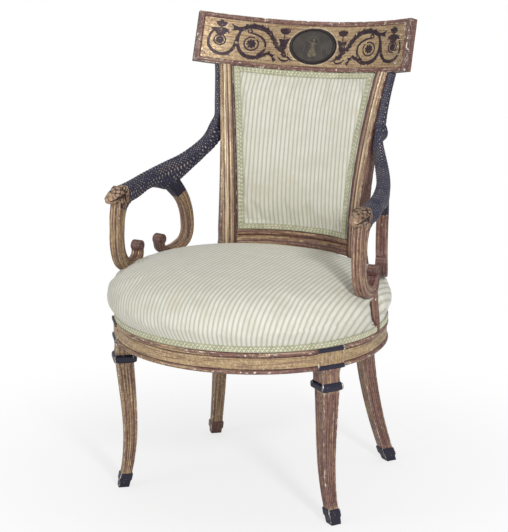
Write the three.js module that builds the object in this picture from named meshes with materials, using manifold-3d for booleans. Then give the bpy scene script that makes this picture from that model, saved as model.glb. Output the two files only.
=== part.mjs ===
// Klismos armchair with serpent arms: a round seat on sabre legs and a curved back.
// Units are millimetres. +X is the side on the right when the chair is seen from the front,
// +Y points to its back, +Z is up. The feet stand at z = 0.

import * as THREE from 'three';
import { mergeVertices } from 'three/addons/utils/BufferGeometryUtils.js';
import Module from 'manifold-3d';

const wasm = await Module();
wasm.setup();

const halfTurn = 180;
const degree = Math.PI / halfTurn;

// Clearances
const fitGap = 0.3;
const softGap = 1.2;
const cutOverrun = 6;

// Seat outline, measured at the outer edge of the rail's mouldings
const seatHalfWidth = 271;
const seatFrontDepth = 249;
const seatBackDepth = 258;
const seatBackPower = 2.25;

// Seat rails
const railBottom = 313;
const railFaceHeight = 42;
const railTackingHeight = 17;
const railThickness = 30;
const railBeadProud = 2.5;
const railLowerBead = 8;
const railUpperBead = 10;
const railTackingInset = 5;
const railFaceTop = railBottom + railFaceHeight;
const railTop = railFaceTop + railTackingHeight;
const tenonThickness = 10;
const tenonHeight = 26;
const tenonLength = 18;
const tenonRoot = 4;

// Front legs
const frontLegSeatAngle = 60.5;
const frontLegFaceAngle = 54;
const headWidth = 57;
const headDepth = 42;
const headProud = -0.8;
const headBandProud = 2.2;
const headTopInset = 9.5;
const headBandHeight = 8;
const neckSize = 37;
const neckFlareSize = 42;
const collarSize = 46;
const collarHigh = 285;
const collarHeight = 15;
const collarLow = collarHigh - collarHeight;
const shaftTopSize = 35;
const shaftFootSize = 21;
const shoeSize = 26;
const shoeSoleSize = 22;
const shoeHeight = 30;
const shoeSoleHeight = 14;
const frontLegInset = 20;
const frontLegKick = 20;
const frontLegBowShares = [0.1, -0.13, -0.32, -0.36, -0.12, 0.4];
const frontLegDriftShares = [0.1, 0.23, 0.32, 0.42, 0.56, 0.8];
const reedRelief = 1.4;
const shaftLevels = 7;

// Rear uprights: each is one piece from the foot, past the seat rail, up to the crest
const legInset = 25.84;
const uprightDraw = 9.7;
const rearLegSeatAngle = 38.6;
const stileSeatAngleLow = 35.4;
const stileSeatAngleHigh = 34;
const legFaceAngle = 37;
const stileFaceAngleLow = 37;
const stileFaceAngleHigh = 19;
const rearKick = 71.8;
const rearKickPower = 1.76;
const stileRunBack = 68.5;
const leanPower = 1.73;
const rearFootSize = 23;
const rearLegSize = 32;
const stileWidthLow = 36;
const stileWidthHigh = 29;
const stileDepthHigh = 23;
const stileRelief = 2.6;
const stileFoot = 482;
const legLowest = 290;

// Back: its bottom rail and the surface that the pad follows
const backRailBottom = 454;
const backRailTop = 479;
const backRailThickness = 24;
const backRailInset = 1.5;
const backRailReach = 12;
const backTenonLength = 12;
const backTenonThickness = 8;
const backTenonHeight = 15;
// Depth and height of the back rail's section, as shares of its thickness and height
const backRailShares = [
  [0.05, 0], [0, 0.1], [0, 0.26], [0.08, 0.34], [0.08, 0.62], [0, 0.7], [0, 0.9], [0.05, 1], [1, 1], [1, 0],
];
const middleRunBack = 61.7;
const slopeStep = 0.5;

// Crest rail, a curved board that leans back
const crestSetBack = 60.5;
const crestPanelStep = 0.6;
const crestBottom = 807;
const crestHeight = 106;
const crestHalfWidth = 232;
const crestRadius = 387;
const crestThickness = 18;
const crestLeanAngle = 18.9;
const crestEdgeAngle = 16;
const crestBorder = 9;
const crestPanelSink = 2.5;
const stileTenonLength = 26;
const stileTenonWidth = 16;
const stileTenonDepth = 8;
const medallionHalfWidth = 51;
const medallionHalfHeight = 36.5;
const medallionRim = 4;
const medallionRise = 4.5;
const medallionGap = 0.65;

// Arms, each a carved serpent that runs from the stile to the head in front
const armInset = 13.5;
const armSpan = seatHalfWidth - armInset;
const armStand = 10.5;
const armBendStart = -20;
const armLowZ = 585;
const armHighZ = 710;
const armFrontY = -36;
const armDepth = 36;
const armWidth = 26;
const tailWidth = 9.5;
const tailDepth = 15;
const tailSetBack = 4;
const tailSwellShare = 0.26;
const headLength = 68;
const headDepthArm = 33;
const headWidthArm = 30;
const eyeRadius = 4.5;
// Along, up, depth and width of the body, as shares of the sizes above
const bodyShares = [
  [0.00, 0.02, 0.97, 1.06],
  [0.14, 0.04, 1.00, 1.04],
  [0.30, 0.11, 0.90, 1.00],
  [0.45, 0.16, 1.00, 1.00],
  [0.59, 0.22, 1.03, 1.00],
  [0.71, 0.29, 1.00, 0.96],
  [0.80, 0.38, 0.94, 0.92],
  [0.88, 0.50, 0.83, 0.85],
  [0.94, 0.63, 0.72, 0.76],
  [0.98, 0.80, 0.60, 0.66],
];
// The same for the head, along its length from the neck to the snout
const snakeHeadShares = [
  [1.00, -0.05, 0.20, 0.30],
  [0.90, -0.01, 0.52, 0.60],
  [0.74, 0.06, 0.80, 0.86],
  [0.52, 0.10, 0.96, 1.02],
  [0.26, 0.08, 1.00, 1.04],
];

// Scrolls under the arms and the posts that carry them
const scrollWidth = 19;
const fluteShares = [0, 0, 1, 0, 1, 0, 0];
const scrollDepth = 22;
const scrollFront = -67;
const scrollBack = 159;
const ringMiddle = 50;
const scrollLow = 438;
const scrollHigh = 582;
const rollRadius = 11.5;
const rollWidth = 20;
const rollSides = 14;
const frontRollY = 13;
const rearRollY = 84;
const rollZ = 471.5;
// Along from the ring's middle, up and depth of the front scroll, from the neck down to its roll
const frontScrollShares = [
  [0.86, 1.00, 1.55],
  [0.91, 0.89, 1.36],
  [0.97, 0.74, 1.14],
  [0.99, 0.57, 1.00],
  [1.00, 0.42, 1.00],
  [0.97, 0.26, 1.00],
  [0.89, 0.125, 1.05],
  [0.75, 0.035, 1.09],
  [0.58, 0.00, 1.00],
  [0.43, 0.02, 0.82],
  [0.335, 0.09, 0.64],
  [0.31, 0.18, 0.59],
];
// The same for the rear scroll, from the belly down to its roll
const rearScrollShares = [
  [0.57, 1.17, 1.18],
  [0.70, 1.02, 1.09],
  [0.83, 0.88, 0.95],
  [0.92, 0.74, 0.86],
  [0.98, 0.58, 0.84],
  [1.00, 0.42, 0.84],
  [0.98, 0.26, 0.84],
  [0.91, 0.145, 0.82],
  [0.77, 0.075, 0.77],
  [0.61, 0.04, 0.73],
  [0.44, 0.05, 0.64],
  [0.33, 0.105, 0.59],
  [0.295, 0.195, 0.55],
];
const postY = 10;
const postTopSize = 14;
const postFootSize = 10;
const postInset = 6.5;
const postFootX = seatHalfWidth - postInset;
const postTenonRadius = 3.5;
const postTenonLength = 20;

// Seat upholstery
const webWidth = 50;
const webThickness = 1.5;
const webCount = 4;
const webPitch = 100;
const webInset = 8;
const webLapShare = 0.9;
const clothThickness = 1;
const clothInset = 7;
const coverThickness = 1.3;
const coverInset = 2.8;
const cushionBulge = 9;
const cushionWaistZ = 370;
const cushionShoulderZ = 381;
const cushionShoulderOut = 4;
const cushionWidestZ = 397;
const cushionCrownZ = 466;
const cushionSidePower = 3.4;
const cushionTopPower = 2.4;
// Turns of the cushion's section from its widest line to its crown, as shares of a quarter turn
const cushionTurnShares = [0.18, 0.36, 0.54, 0.72, 0.89];
const crownShare = 0.03;
const gimpHeight = 11.5;
const gimpThickness = 2.2;
const bottomClothInset = 8;

// Back upholstery, as depths behind the front of the frame
const backCrown = 15;
const backBorderShare = 0.88;
const backBorderEndShare = 0.91;
const backClothDepth = 10;
const backEndGap = 1.2;
const backOverlap = 3;
const outsideCoverDepth = 19;
// Columns and rows of all the back's sheets, as shares of the half width and of the height.
// Every second column and row is also a strap of the webbing.
const backColumnShares = [-1, -0.88, -0.62, -0.38, -0.13, 0.13, 0.38, 0.62, 0.88, 1];
const backRowShares = [0, 0.045, 0.16, 0.3, 0.43, 0.57, 0.7, 0.84, 0.955, 1];
const backGimpLift = 0.8;

// Glue blocks and screws
const blockLength = 92;
const blockThickness = 24;
const blockHeight = 34;
const blockDrop = 6;
const screwRadius = 2.2;
const screwHeadRadius = 4.2;
const screwHeadHeight = 2.6;
const screwLength = 36;
const screwSpacing = 46;
const armScrewLength = 40;
const armScrewZ = 700;
const armScrewSink = 0.6;

// Colours
const gilt = { color: 0xb08d56, roughness: 0.5, metalness: 0.25 };
const giltDark = { color: 0x8d6a44, roughness: 0.55, metalness: 0.2 };
const serpentBlack = { color: 0x2c2d3d, roughness: 0.45, metalness: 0.0 };
const medallionGrey = { color: 0x4f4b40, roughness: 0.5, metalness: 0.05 };
const stripedSilk = { color: 0xe2e0ce, roughness: 0.8, metalness: 0.0 };
const gimpGreen = { color: 0xa9ad78, roughness: 0.85, metalness: 0.0 };
const rawWood = { color: 0xb59468, roughness: 0.8, metalness: 0.0 };
const jute = { color: 0xa98f66, roughness: 0.95, metalness: 0.0 };
const hair = { color: 0x5d4a38, roughness: 1.0, metalness: 0.0 };
const linen = { color: 0xd9d2bf, roughness: 0.95, metalness: 0.0 };
const steel = { color: 0x77756f, roughness: 0.4, metalness: 0.9 };

// Solids: conversion between geometries and closed solids that can be joined and cut

function toSolid(geometry) {
  const bare = geometry.clone();
  for (const name of Object.keys(bare.attributes)) {
    if (name !== 'position') bare.deleteAttribute(name);
  }
  const merged = mergeVertices(bare, 1e-5);
  return new wasm.Manifold(new wasm.Mesh({
    numProp: 3,
    vertProperties: new Float32Array(merged.attributes.position.array),
    triVerts: new Uint32Array(merged.index.array),
  }));
}

function toGeometry(solid) {
  const mesh = solid.getMesh();
  const geometry = new THREE.BufferGeometry();
  geometry.setAttribute('position', new THREE.BufferAttribute(mesh.vertProperties, 3));
  geometry.setIndex(new THREE.BufferAttribute(mesh.triVerts, 1));
  const flat = geometry.toNonIndexed();
  flat.computeVertexNormals();
  return flat;
}

function joined(solids) {
  return solids.reduce((sum, solid) => sum.add(solid));
}

function cut(solid, ...tools) {
  return tools.reduce((rest, tool) => rest.subtract(tool), solid);
}

// The biggest of a solid's bodies
function largest(solid) {
  return solid.decompose().reduce((best, body) => (body.volume() > best.volume() ? body : best));
}

// The same solid on the other side of the chair
function mirrored(solid) {
  const mesh = solid.getMesh();
  const positions = Float32Array.from(mesh.vertProperties, (value, i) => (i % 3 === 0 ? -value : value));
  const triangles = new Uint32Array(mesh.triVerts);
  for (let i = 0; i < triangles.length; i += 3) {
    [triangles[i], triangles[i + 1]] = [triangles[i + 1], triangles[i]];
  }
  return new wasm.Manifold(new wasm.Mesh({ numProp: 3, vertProperties: positions, triVerts: triangles }));
}

// A closed skin through rings of equal count, capped at both ends or closed on itself
function loft(rings, closed = false) {
  const count = rings[0].length;
  const positions = [];
  const index = [];
  for (const ring of rings) for (const p of ring) positions.push(p.x, p.y, p.z);
  const spans = closed ? rings.length : rings.length - 1;
  for (let i = 0; i < spans; i++) {
    const a = i * count;
    const b = ((i + 1) % rings.length) * count;
    for (let j = 0; j < count; j++) {
      const k = (j + 1) % count;
      index.push(a + j, a + k, b + k, a + j, b + k, b + j);
    }
  }
  if (!closed) {
    for (const end of [0, rings.length - 1]) {
      const centre = new THREE.Vector3();
      for (const p of rings[end]) centre.addScaledVector(p, 1 / count);
      const c = positions.length / 3;
      positions.push(centre.x, centre.y, centre.z);
      for (let j = 0; j < count; j++) {
        const k = (j + 1) % count;
        const pair = [end * count + j, end * count + k];
        index.push(c, ...(end === 0 ? pair.reverse() : pair));
      }
    }
  }
  const geometry = new THREE.BufferGeometry();
  geometry.setAttribute('position', new THREE.Float32BufferAttribute(positions, 3));
  geometry.setIndex(signedVolume(positions, index) < 0 ? flipped(index) : index);
  return toSolid(geometry);
}

function signedVolume(positions, index) {
  const at = (i) => new THREE.Vector3().fromArray(positions, 3 * i);
  let volume = 0;
  for (let i = 0; i < index.length; i += 3) {
    volume += at(index[i]).dot(at(index[i + 1]).cross(at(index[i + 2])));
  }
  return volume;
}

function flipped(index) {
  const out = index.slice();
  for (let i = 0; i < out.length; i += 3) [out[i], out[i + 1]] = [out[i + 1], out[i]];
  return out;
}

// A block in a frame of its own: low and high are its corners along the axes u, v and w
function block(origin, u, v, w, low, high) {
  const size = high.clone().sub(low);
  const centre = high.clone().add(low).multiplyScalar(0.5);
  const geometry = new THREE.BoxGeometry(size.x, size.y, size.z);
  geometry.translate(centre.x, centre.y, centre.z);
  geometry.applyMatrix4(new THREE.Matrix4().makeBasis(u, v, w).setPosition(origin));
  return toSolid(geometry);
}

// A round bar from one point towards a direction, with a profile of [along, radius] pairs
function turned(origin, direction, profile, sides = 8) {
  const points = profile.map(([along, radius]) => new THREE.Vector2(radius, along));
  const geometry = new THREE.LatheGeometry(points, sides);
  const turn = new THREE.Quaternion().setFromUnitVectors(new THREE.Vector3(0, 1, 0), direction);
  geometry.applyQuaternion(turn);
  geometry.translate(origin.x, origin.y, origin.z);
  return toSolid(geometry);
}

const vec = (x, y, z) => new THREE.Vector3(x, y, z);
const up = vec(0, 0, 1);
const mix = THREE.MathUtils.lerp;
const shareOf = (value, low, high) => THREE.MathUtils.clamp((value - low) / (high - low), 0, 1);

// The seat outline by the angle from the front, with its outward normal

function seatPoint(angle) {
  const s = Math.sin(angle * degree);
  const c = Math.cos(angle * degree);
  const power = c > 0 ? 2 : seatBackPower;
  const depth = c > 0 ? seatFrontDepth : seatBackDepth;
  const across = (Math.abs(s) / seatHalfWidth) ** power;
  const radius = (across + (Math.abs(c) / depth) ** power) ** (-1 / power);
  return vec(radius * s, -radius * c, 0);
}

function seatNormal(angle) {
  const step = 0.05;
  const along = seatPoint(angle + step).sub(seatPoint(angle - step));
  return vec(-along.y, along.x, 0).normalize().negate();
}

// Every piece that follows the outline bends at the same angles, so that their facets lie parallel
const seatStepAngle = 9;
const seatStepCount = 60;
const seatStepLead = 20;
const seatAngles = Array.from({ length: seatStepCount }, (_, i) => (i - seatStepLead) * seatStepAngle);
const seatRound = seatAngles.filter((angle) => angle >= 0 && angle < 2 * halfTurn);

// A ring inside the outline at a height
function seatRing(out, z, scale = 1) {
  return seatRound.map((angle) => {
    return seatPoint(angle).addScaledVector(seatNormal(angle), out).multiplyScalar(scale).setZ(z);
  });
}

// A section of [outward, height] pairs swept along the outline from one angle to another
function seatSweep(section, from, to) {
  const margin = seatStepAngle / 8;
  const between = seatAngles.filter((angle) => angle > from + margin && angle < to - margin);
  return loft([from, ...between, to].map((angle) => {
    const p = seatPoint(angle);
    const n = seatNormal(angle);
    return section.map(([out, z]) => p.clone().addScaledVector(n, out).setZ(z));
  }));
}

// A flat disc inside the outline
function seatDisc(inset, low, high) {
  return loft([seatRing(-inset, low), seatRing(-inset, high)]);
}

// Legs and uprights: rectangular sections with reeded or moulded faces.
// A frame has its centre, n pointing outwards from the seat and t along the rail.

function frameAt(centre, turnFromFront) {
  const n = vec(Math.sin(turnFromFront * degree), -Math.cos(turnFromFront * degree), 0);
  const t = vec(-n.y, n.x, 0);
  return { centre, n, t };
}

const plainShares = [0];
const reedShares = [0.3, 0, 1, 0, 1, 0, 1, 0];
const mouldShares = [0, 0, 0.7, 1, 1, 1, 0.6, 0];

// Faces come in the order outer, far side, inner, near side
function sectionRing(frame, z, width, depth, faces, relief) {
  const corners = [[0.5, -0.5], [0.5, 0.5], [-0.5, 0.5], [-0.5, -0.5]];
  const inward = [[-1, 0], [0, -1], [1, 0], [0, 1]];
  const ring = [];
  faces.forEach((shares, face) => {
    const a = corners[face];
    const b = corners[(face + 1) % corners.length];
    shares.forEach((share, i) => {
      const along = i / shares.length;
      const n = mix(a[0], b[0], along) * depth + inward[face][0] * share * relief;
      const t = mix(a[1], b[1], along) * width + inward[face][1] * share * relief;
      ring.push(frame.centre.clone().addScaledVector(frame.n, n).addScaledVector(frame.t, t).setZ(z));
    });
  });
  return ring;
}

const plainFaces = [plainShares, plainShares, plainShares, plainShares];
const reededFaces = [reedShares, reedShares, plainShares, reedShares];
const stileFaces = [plainShares, plainShares, mouldShares, plainShares];

// Front leg

const frontHead = frameAt(seatPoint(frontLegSeatAngle), frontLegFaceAngle);

const frontLegPath = new THREE.SplineCurve(frontLegBowShares.map((bow, i) => {
  return new THREE.Vector2(bow, frontLegDriftShares[i]).multiplyScalar(frontLegKick);
}));

function frontLegShaft(z) {
  const shift = frontLegPath.getPoint(1 - shareOf(z, 0, collarLow));
  shift.multiplyScalar(1 - shareOf(z, collarLow, railBottom));
  const centre = frontHead.centre.clone().addScaledVector(frontHead.n, shift.x - frontLegInset);
  return { ...frontHead, centre: centre.addScaledVector(frontHead.t, shift.y) };
}

function frontLeg() {
  const square = (z, size, faces = plainFaces, relief = 0) => {
    return sectionRing(frontLegShaft(z), z, size, size, faces, relief);
  };
  const shaftLow = shoeHeight + 2 * reedRelief;
  const shaftHigh = collarLow - 2 * reedRelief;
  const shaftSize = (z) => mix(shaftFootSize, shaftTopSize, shareOf(z, shaftLow, shaftHigh));
  const shoe = loft([
    square(0, shoeSoleSize),
    square(shoeSoleHeight, shoeSoleSize + reedRelief),
    square(shoeSoleHeight + reedRelief, shoeSize),
    square(shoeHeight - reedRelief, shoeSize),
    square(shoeHeight, shaftFootSize + reedRelief),
    square(shaftLow, shaftSize(shaftLow)),
  ]);
  const shaft = loft(Array.from({ length: shaftLevels }, (_, i) => {
    const z = mix(shaftLow, shaftHigh, i / (shaftLevels - 1));
    return square(z, shaftSize(z), reededFaces, reedRelief);
  }));
  // The head is the block between the rails, with a band along its top and bottom
  const head = (z, proud) => {
    const depth = headDepth + proud;
    const centre = frontHead.centre.clone().addScaledVector(frontHead.n, proud - depth / 2);
    return sectionRing({ ...frontHead, centre }, z, headWidth, depth, plainFaces, 0);
  };
  const top = loft([
    square(shaftHigh, shaftTopSize),
    square(collarLow, shaftTopSize + reedRelief),
    square(collarLow + reedRelief, collarSize - 2 * reedRelief),
    square(mix(collarLow, collarHigh, 0.4), collarSize),
    square(mix(collarLow, collarHigh, 0.75), collarSize),
    square(collarHigh, collarSize - 3 * reedRelief),
    square(mix(collarHigh, railBottom, 0.4), neckSize),
    square(railBottom - fitGap, neckFlareSize),
    head(railBottom, headBandProud),
    head(railBottom + headBandHeight, headBandProud),
    head(railBottom + headBandHeight + reedRelief, headProud),
    head(railFaceTop - headBandHeight - reedRelief, headProud),
    head(railFaceTop - headBandHeight, headBandProud),
    head(railFaceTop, headBandProud),
    head(railFaceTop + fitGap, -headTopInset),
    head(railTop, -headTopInset),
  ]);
  return joined([shoe, shaft, top]);
}

// Rear upright

const rearAngle = halfTurn - rearLegSeatAngle;
const legInnerRadius = seatPoint(rearAngle).length() - legInset;
const uprightRadius = legInnerRadius - uprightDraw;
const crestMidY = uprightRadius + crestSetBack;

function uprightInnerRadius(z) {
  if (z < railBottom) {
    return legInnerRadius + rearKick * ((railBottom - z) / railBottom) ** rearKickPower;
  }
  if (z < backRailBottom) {
    return mix(legInnerRadius, uprightRadius, shareOf(z, railBottom, backRailBottom));
  }
  return uprightRadius + stileRunBack * stileShare(z) ** leanPower;
}

function stileShare(z) {
  return (z - backRailBottom) / (crestBottom - backRailBottom);
}

function uprightAt(z) {
  const toStile = shareOf(z, railTop, backRailBottom);
  const toCrest = shareOf(z, backRailTop, crestBottom);
  const azimuth = mix(rearLegSeatAngle, mix(stileSeatAngleLow, stileSeatAngleHigh, toCrest), toStile);
  const stileTurn = mix(stileFaceAngleLow, stileFaceAngleHigh, toCrest);
  const turn = mix(legFaceAngle, stileTurn, toStile);
  const legSize = mix(rearFootSize, rearLegSize, shareOf(z, 0, railBottom));
  const lowWidth = mix(legSize, stileWidthLow, toStile);
  const width = mix(lowWidth, stileWidthHigh, toCrest);
  const depth = mix(legSize, stileDepthHigh, shareOf(z, railTop, crestBottom));
  const place = azimuth * degree;
  const frame = frameAt(vec(0, 0, 0), halfTurn - turn);
  frame.front = vec(Math.sin(place), Math.cos(place), 0).multiplyScalar(uprightInnerRadius(z));
  frame.centre = frame.front.clone().addScaledVector(frame.n, depth / 2);
  return { ...frame, width, depth };
}

// The front edge of the stile on its inner side, where the pad ends, or on its outer side
function stileEdge(z, outer = false) {
  const at = uprightAt(z);
  return at.front.clone().addScaledVector(at.t, (outer ? -0.5 : 0.5) * at.width).setZ(z);
}

function uprightRing(z, extra = 0, faces = plainFaces, relief = 0) {
  const at = uprightAt(z);
  return sectionRing(at, z, at.width + extra, at.depth + extra, faces, relief);
}

const stileHeights = Array.from({ length: shaftLevels }, (_, i) => {
  return mix(stileFoot, crestBottom + 4 * cutOverrun, i / (shaftLevels - 1));
});

function upright() {
  const shoe = shoeSize - shaftFootSize;
  const legLow = shoeHeight + 2 * reedRelief;
  const legHigh = railBottom - 2 * reedRelief;
  const foot = loft([
    uprightRing(0),
    uprightRing(shoeHeight - reedRelief, shoe),
    uprightRing(shoeHeight),
    uprightRing(legLow),
  ]);
  const leg = loft(Array.from({ length: shaftLevels }, (_, i) => {
    return uprightRing(mix(legLow, legHigh, i / (shaftLevels - 1)), 0, reededFaces, reedRelief);
  }));
  const waist = loft([legHigh, railTop, backRailBottom, backRailTop, stileFoot].map((z) => uprightRing(z)));
  const stile = loft(stileHeights.map((z) => uprightRing(z, 0, stileFaces, stileRelief)));
  return joined([foot, leg, waist, stile]);
}

// A plain solid around the upright, for cutting its neighbours with a clearance
function uprightRoom(grow) {
  const heights = [legLowest, railTop, backRailBottom, backRailTop, ...stileHeights];
  return loft(heights.map((z) => uprightRing(z, 2 * grow)));
}

// Back surface: a curve from stile to stile at each height

function backSurface(x, z) {
  const edge = stileEdge(z);
  const middle = uprightRadius + middleRunBack * Math.max(stileShare(z), 0) ** leanPower;
  const sag = middle - edge.y;
  const radius = (edge.x ** 2 + sag ** 2) / (2 * sag);
  return middle - radius + Math.sqrt(radius ** 2 - x ** 2);
}

function backNormal(x, z) {
  const overX = backSurface(x + slopeStep, z) - backSurface(x - slopeStep, z);
  const overZ = backSurface(x, z + slopeStep) - backSurface(x, z - slopeStep);
  const alongX = vec(2 * slopeStep, overX, 0);
  const alongZ = vec(0, overZ, 2 * slopeStep);
  return alongZ.cross(alongX).normalize();
}

// A place on the back by shares across and up, at a depth behind the front surface
function backPoint(across, rise, depth, insetSide = 0, insetEnd = 0) {
  const low = backRailTop + insetEnd;
  const roughX = across * stileEdge(mix(low, crestBottom, rise)).x;
  const high = crestBottom + crestSag(roughX) * Math.sin(crestEdgeAngle * degree) - insetEnd;
  const z = mix(low, high, rise);
  const x = across * (stileEdge(z).x - insetSide);
  const p = vec(x, backSurface(x, z), z);
  return p.addScaledVector(backNormal(x, z), depth);
}

// Crest rail

function crestSag(x) {
  return crestRadius - Math.sqrt(crestRadius ** 2 - x ** 2);
}

const crestRise = vec(0, Math.sin(crestLeanAngle * degree), Math.cos(crestLeanAngle * degree));

// A place on the crest's front face, with proud counted towards the front
function crestPoint(x, height, proud) {
  const sag = crestSag(x);
  const tilt = crestEdgeAngle * degree;
  const base = vec(x, crestMidY - sag * Math.cos(tilt), crestBottom + sag * Math.sin(tilt));
  const slope = x / Math.sqrt(crestRadius ** 2 - x ** 2);
  const along = vec(1, -slope * Math.cos(tilt), slope * Math.sin(tilt)).normalize();
  const forward = crestRise.clone().cross(along).normalize();
  if (forward.y > 0) forward.negate();
  return base.addScaledVector(crestRise, height).addScaledVector(forward, proud);
}

function crestRail() {
  const borderShares = [[0, -0.5], [0.2, 0], [0.4, -0.35], [0.6, 0], [0.8, -0.35], [1, 0]];
  const lows = borderShares.map(([share, drop]) => [share * crestBorder, drop * crestPanelSink, false]);
  const fronts = [
    ...lows,
    [crestBorder + crestPanelStep, -crestPanelSink, true],
    [crestHeight / 2, -crestPanelSink, true],
    [crestHeight - crestBorder - crestPanelStep, -crestPanelSink, true],
    ...lows.map(([height, drop]) => [crestHeight - height, drop, false]).reverse(),
  ];
  const inner = crestHalfWidth - crestBorder;
  const panelColumns = 14;
  const columns = borderShares.map(([share, drop]) => [-crestHalfWidth + share * crestBorder, drop]);
  for (let i = 0; i <= panelColumns; i++) {
    columns.push([mix(crestPanelStep - inner, inner - crestPanelStep, i / panelColumns), -1]);
  }
  const lasts = borderShares.map(([share, drop]) => [crestHalfWidth - share * crestBorder, drop]);
  columns.push(...lasts.reverse());
  const rings = columns.map(([x, columnDrop]) => {
    const ring = fronts.map(([height, drop, panel]) => {
      const proud = panel ? columnDrop * crestPanelSink : Math.min(drop, columnDrop > -1 ? 0 : drop);
      return crestPoint(x, height, proud);
    });
    ring.push(crestPoint(x, crestHeight, -crestThickness), crestPoint(x, 0, -crestThickness));
    return ring;
  });
  return loft(rings);
}

function stileTenon(grow) {
  const z = crestBottom + crestSag(uprightAt(crestBottom).centre.x) * Math.sin(crestEdgeAngle * degree);
  const at = uprightAt(z);
  const along = at.t.clone().addScaledVector(crestRise, -at.t.dot(crestRise)).normalize();
  const back = crestRise.clone().cross(along);
  const middle = crestPoint(at.centre.x, 0, -crestThickness / 2);
  const half = vec(stileTenonWidth / 2 + grow, stileTenonDepth / 2 + grow, stileTenonLength + grow);
  const low = vec(-half.x, -half.y, -cutOverrun - grow);
  return block(middle, along, back, crestRise, low, half);
}

// Everything above the crest's bottom edge, for trimming the stiles under it
function aboveCrestEdge() {
  const edge = (x, drop, height) => crestPoint(x, height, drop);
  const reach = crestThickness + 4 * cutOverrun;
  const columns = 12;
  const rings = [];
  for (let i = 0; i <= columns; i++) {
    const x = mix(-crestHalfWidth, crestHalfWidth, i / columns);
    rings.push([
      edge(x, reach, -fitGap), edge(x, -reach, -fitGap),
      edge(x, -reach, crestHeight), edge(x, reach, crestHeight),
    ]);
  }
  return loft(rings);
}

function medallion() {
  const steps = 28;
  const floor = medallionGap - crestPanelSink;
  const ring = (scaleInset, proud) => Array.from({ length: steps }, (_, i) => {
    const angle = (2 * Math.PI * i) / steps;
    const x = (medallionHalfWidth - scaleInset) * Math.cos(angle);
    const rise = (medallionHalfHeight - scaleInset) * Math.sin(angle);
    return crestPoint(x, crestHeight / 2 + rise, floor + proud);
  });
  return loft([
    ring(0, 0),
    ring(0, 0.7 * medallionRise),
    ring(0.3 * medallionRim, medallionRise),
    ring(0.7 * medallionRim, medallionRise),
    ring(medallionRim, 0.5 * medallionRise),
    ring(medallionHalfHeight * 0.5, 0.65 * medallionRise),
  ]);
}

// Arms, which bend in plan so that their back ends lie on the stiles

const armMeeting = stileEdge(armHighZ, true);
const armBackY = armMeeting.y;
const armDraw = armSpan - armMeeting.x - armStand;
const armBendRadius = (armDraw ** 2 + (armBackY - armBendStart) ** 2) / (2 * armDraw);

function armX(y) {
  const past = Math.max(y - armBendStart, 0);
  return armSpan - armBendRadius + Math.sqrt(armBendRadius ** 2 - past ** 2);
}

function armOutward(y) {
  const past = Math.max(y - armBendStart, 0);
  return vec(Math.sqrt(armBendRadius ** 2 - past ** 2), past, 0).normalize();
}

// Stations of the serpent from its snout to the tip of its tail: centre, outward axis and sizes
function serpentStations() {
  const stations = [];
  for (const [along, rise, deep, wide] of snakeHeadShares) {
    const y = armFrontY - along * headLength;
    const z = armLowZ + rise * armDepth;
    stations.push([vec(armX(y), y, z), armOutward(y), deep * headDepthArm, wide * headWidthArm]);
  }
  for (const [along, rise, deep, wide] of bodyShares) {
    const y = mix(armFrontY, armBackY, along);
    const z = mix(armLowZ, armHighZ, rise);
    stations.push([vec(armX(y), y, z), armOutward(y), deep * armDepth, wide * armWidth]);
  }
  const tailLevels = 4;
  for (let i = 0; i < tailLevels; i++) {
    const share = i / (tailLevels - 1);
    const z = mix(armHighZ, crestBottom, share);
    const swell = 1 + tailSwellShare * (1 - share) ** 2;
    const wide = tailWidth * swell;
    const deep = tailDepth * swell;
    stations.push([tailCentre(z, wide, deep), uprightAt(z).t.clone().negate(), deep, wide]);
  }
  return stations;
}

function tailCentre(z, wide, deep) {
  const at = uprightAt(z);
  const place = stileEdge(z, true).addScaledVector(at.t, -wide / 2);
  return place.addScaledVector(at.n, deep / 2 + tailSetBack);
}

function serpent(grow = 0) {
  const stations = serpentStations();
  const points = stations.map(([centre]) => centre);
  const sides = 12;
  const rings = stations.map(([centre, outward, deep, wide], i) => {
    const before = points[Math.max(i - 1, 0)];
    const after = points[Math.min(i + 1, points.length - 1)];
    const tangent = after.clone().sub(before).normalize();
    const w = outward.clone().addScaledVector(tangent, -outward.dot(tangent)).normalize();
    const h = w.clone().cross(tangent).normalize();
    return Array.from({ length: sides }, (_, k) => {
      const angle = (2 * Math.PI * (k + 0.5)) / sides;
      const a = (wide / 2 + grow) * Math.cos(angle);
      const b = (deep / 2 + grow) * Math.sin(angle);
      return centre.clone().addScaledVector(w, a).addScaledVector(h, b);
    });
  });
  const body = loft(rings);
  if (grow > 0) return body;
  const [neck, , deep, wide] = stations[3];
  const eyes = [-1, 1].map((side) => {
    const eye = new THREE.SphereGeometry(eyeRadius, 8, 6);
    eye.translate(neck.x + side * 0.36 * wide, neck.y, neck.z + 0.3 * deep);
    return toSolid(eye);
  });
  return joined([body, ...eyes]);
}

// A flat strip that follows the arm's plan curve, through [y, z, depth] stations
function scrollStrip(stations, flutedSign, grow = 0) {
  const rings = stations.map(([y, z, deep], i) => {
    const before = stations[Math.max(i - 1, 0)];
    const after = stations[Math.min(i + 1, stations.length - 1)];
    const run = new THREE.Vector2(after[0] - before[0], after[1] - before[1]).normalize();
    const side = new THREE.Vector2(run.y, -run.x).multiplyScalar(flutedSign);
    const flutes = (grow > 0 ? [0, 0] : fluteShares).map((share, k, all) => {
      return [mix(-0.5, 0.5, k / (all.length - 1)), 0.5 * deep + grow - share * reedRelief];
    });
    const section = [...flutes, [0.5, -0.5 * deep - grow], [-0.5, -0.5 * deep - grow]];
    return section.map(([w, d]) => {
      const py = y + side.x * d;
      const pz = z + side.y * d;
      const out = w * (scrollWidth + 2 * grow);
      return vec(armX(py), py, pz).addScaledVector(armOutward(py), out);
    });
  });
  return loft(rings);
}

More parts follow.
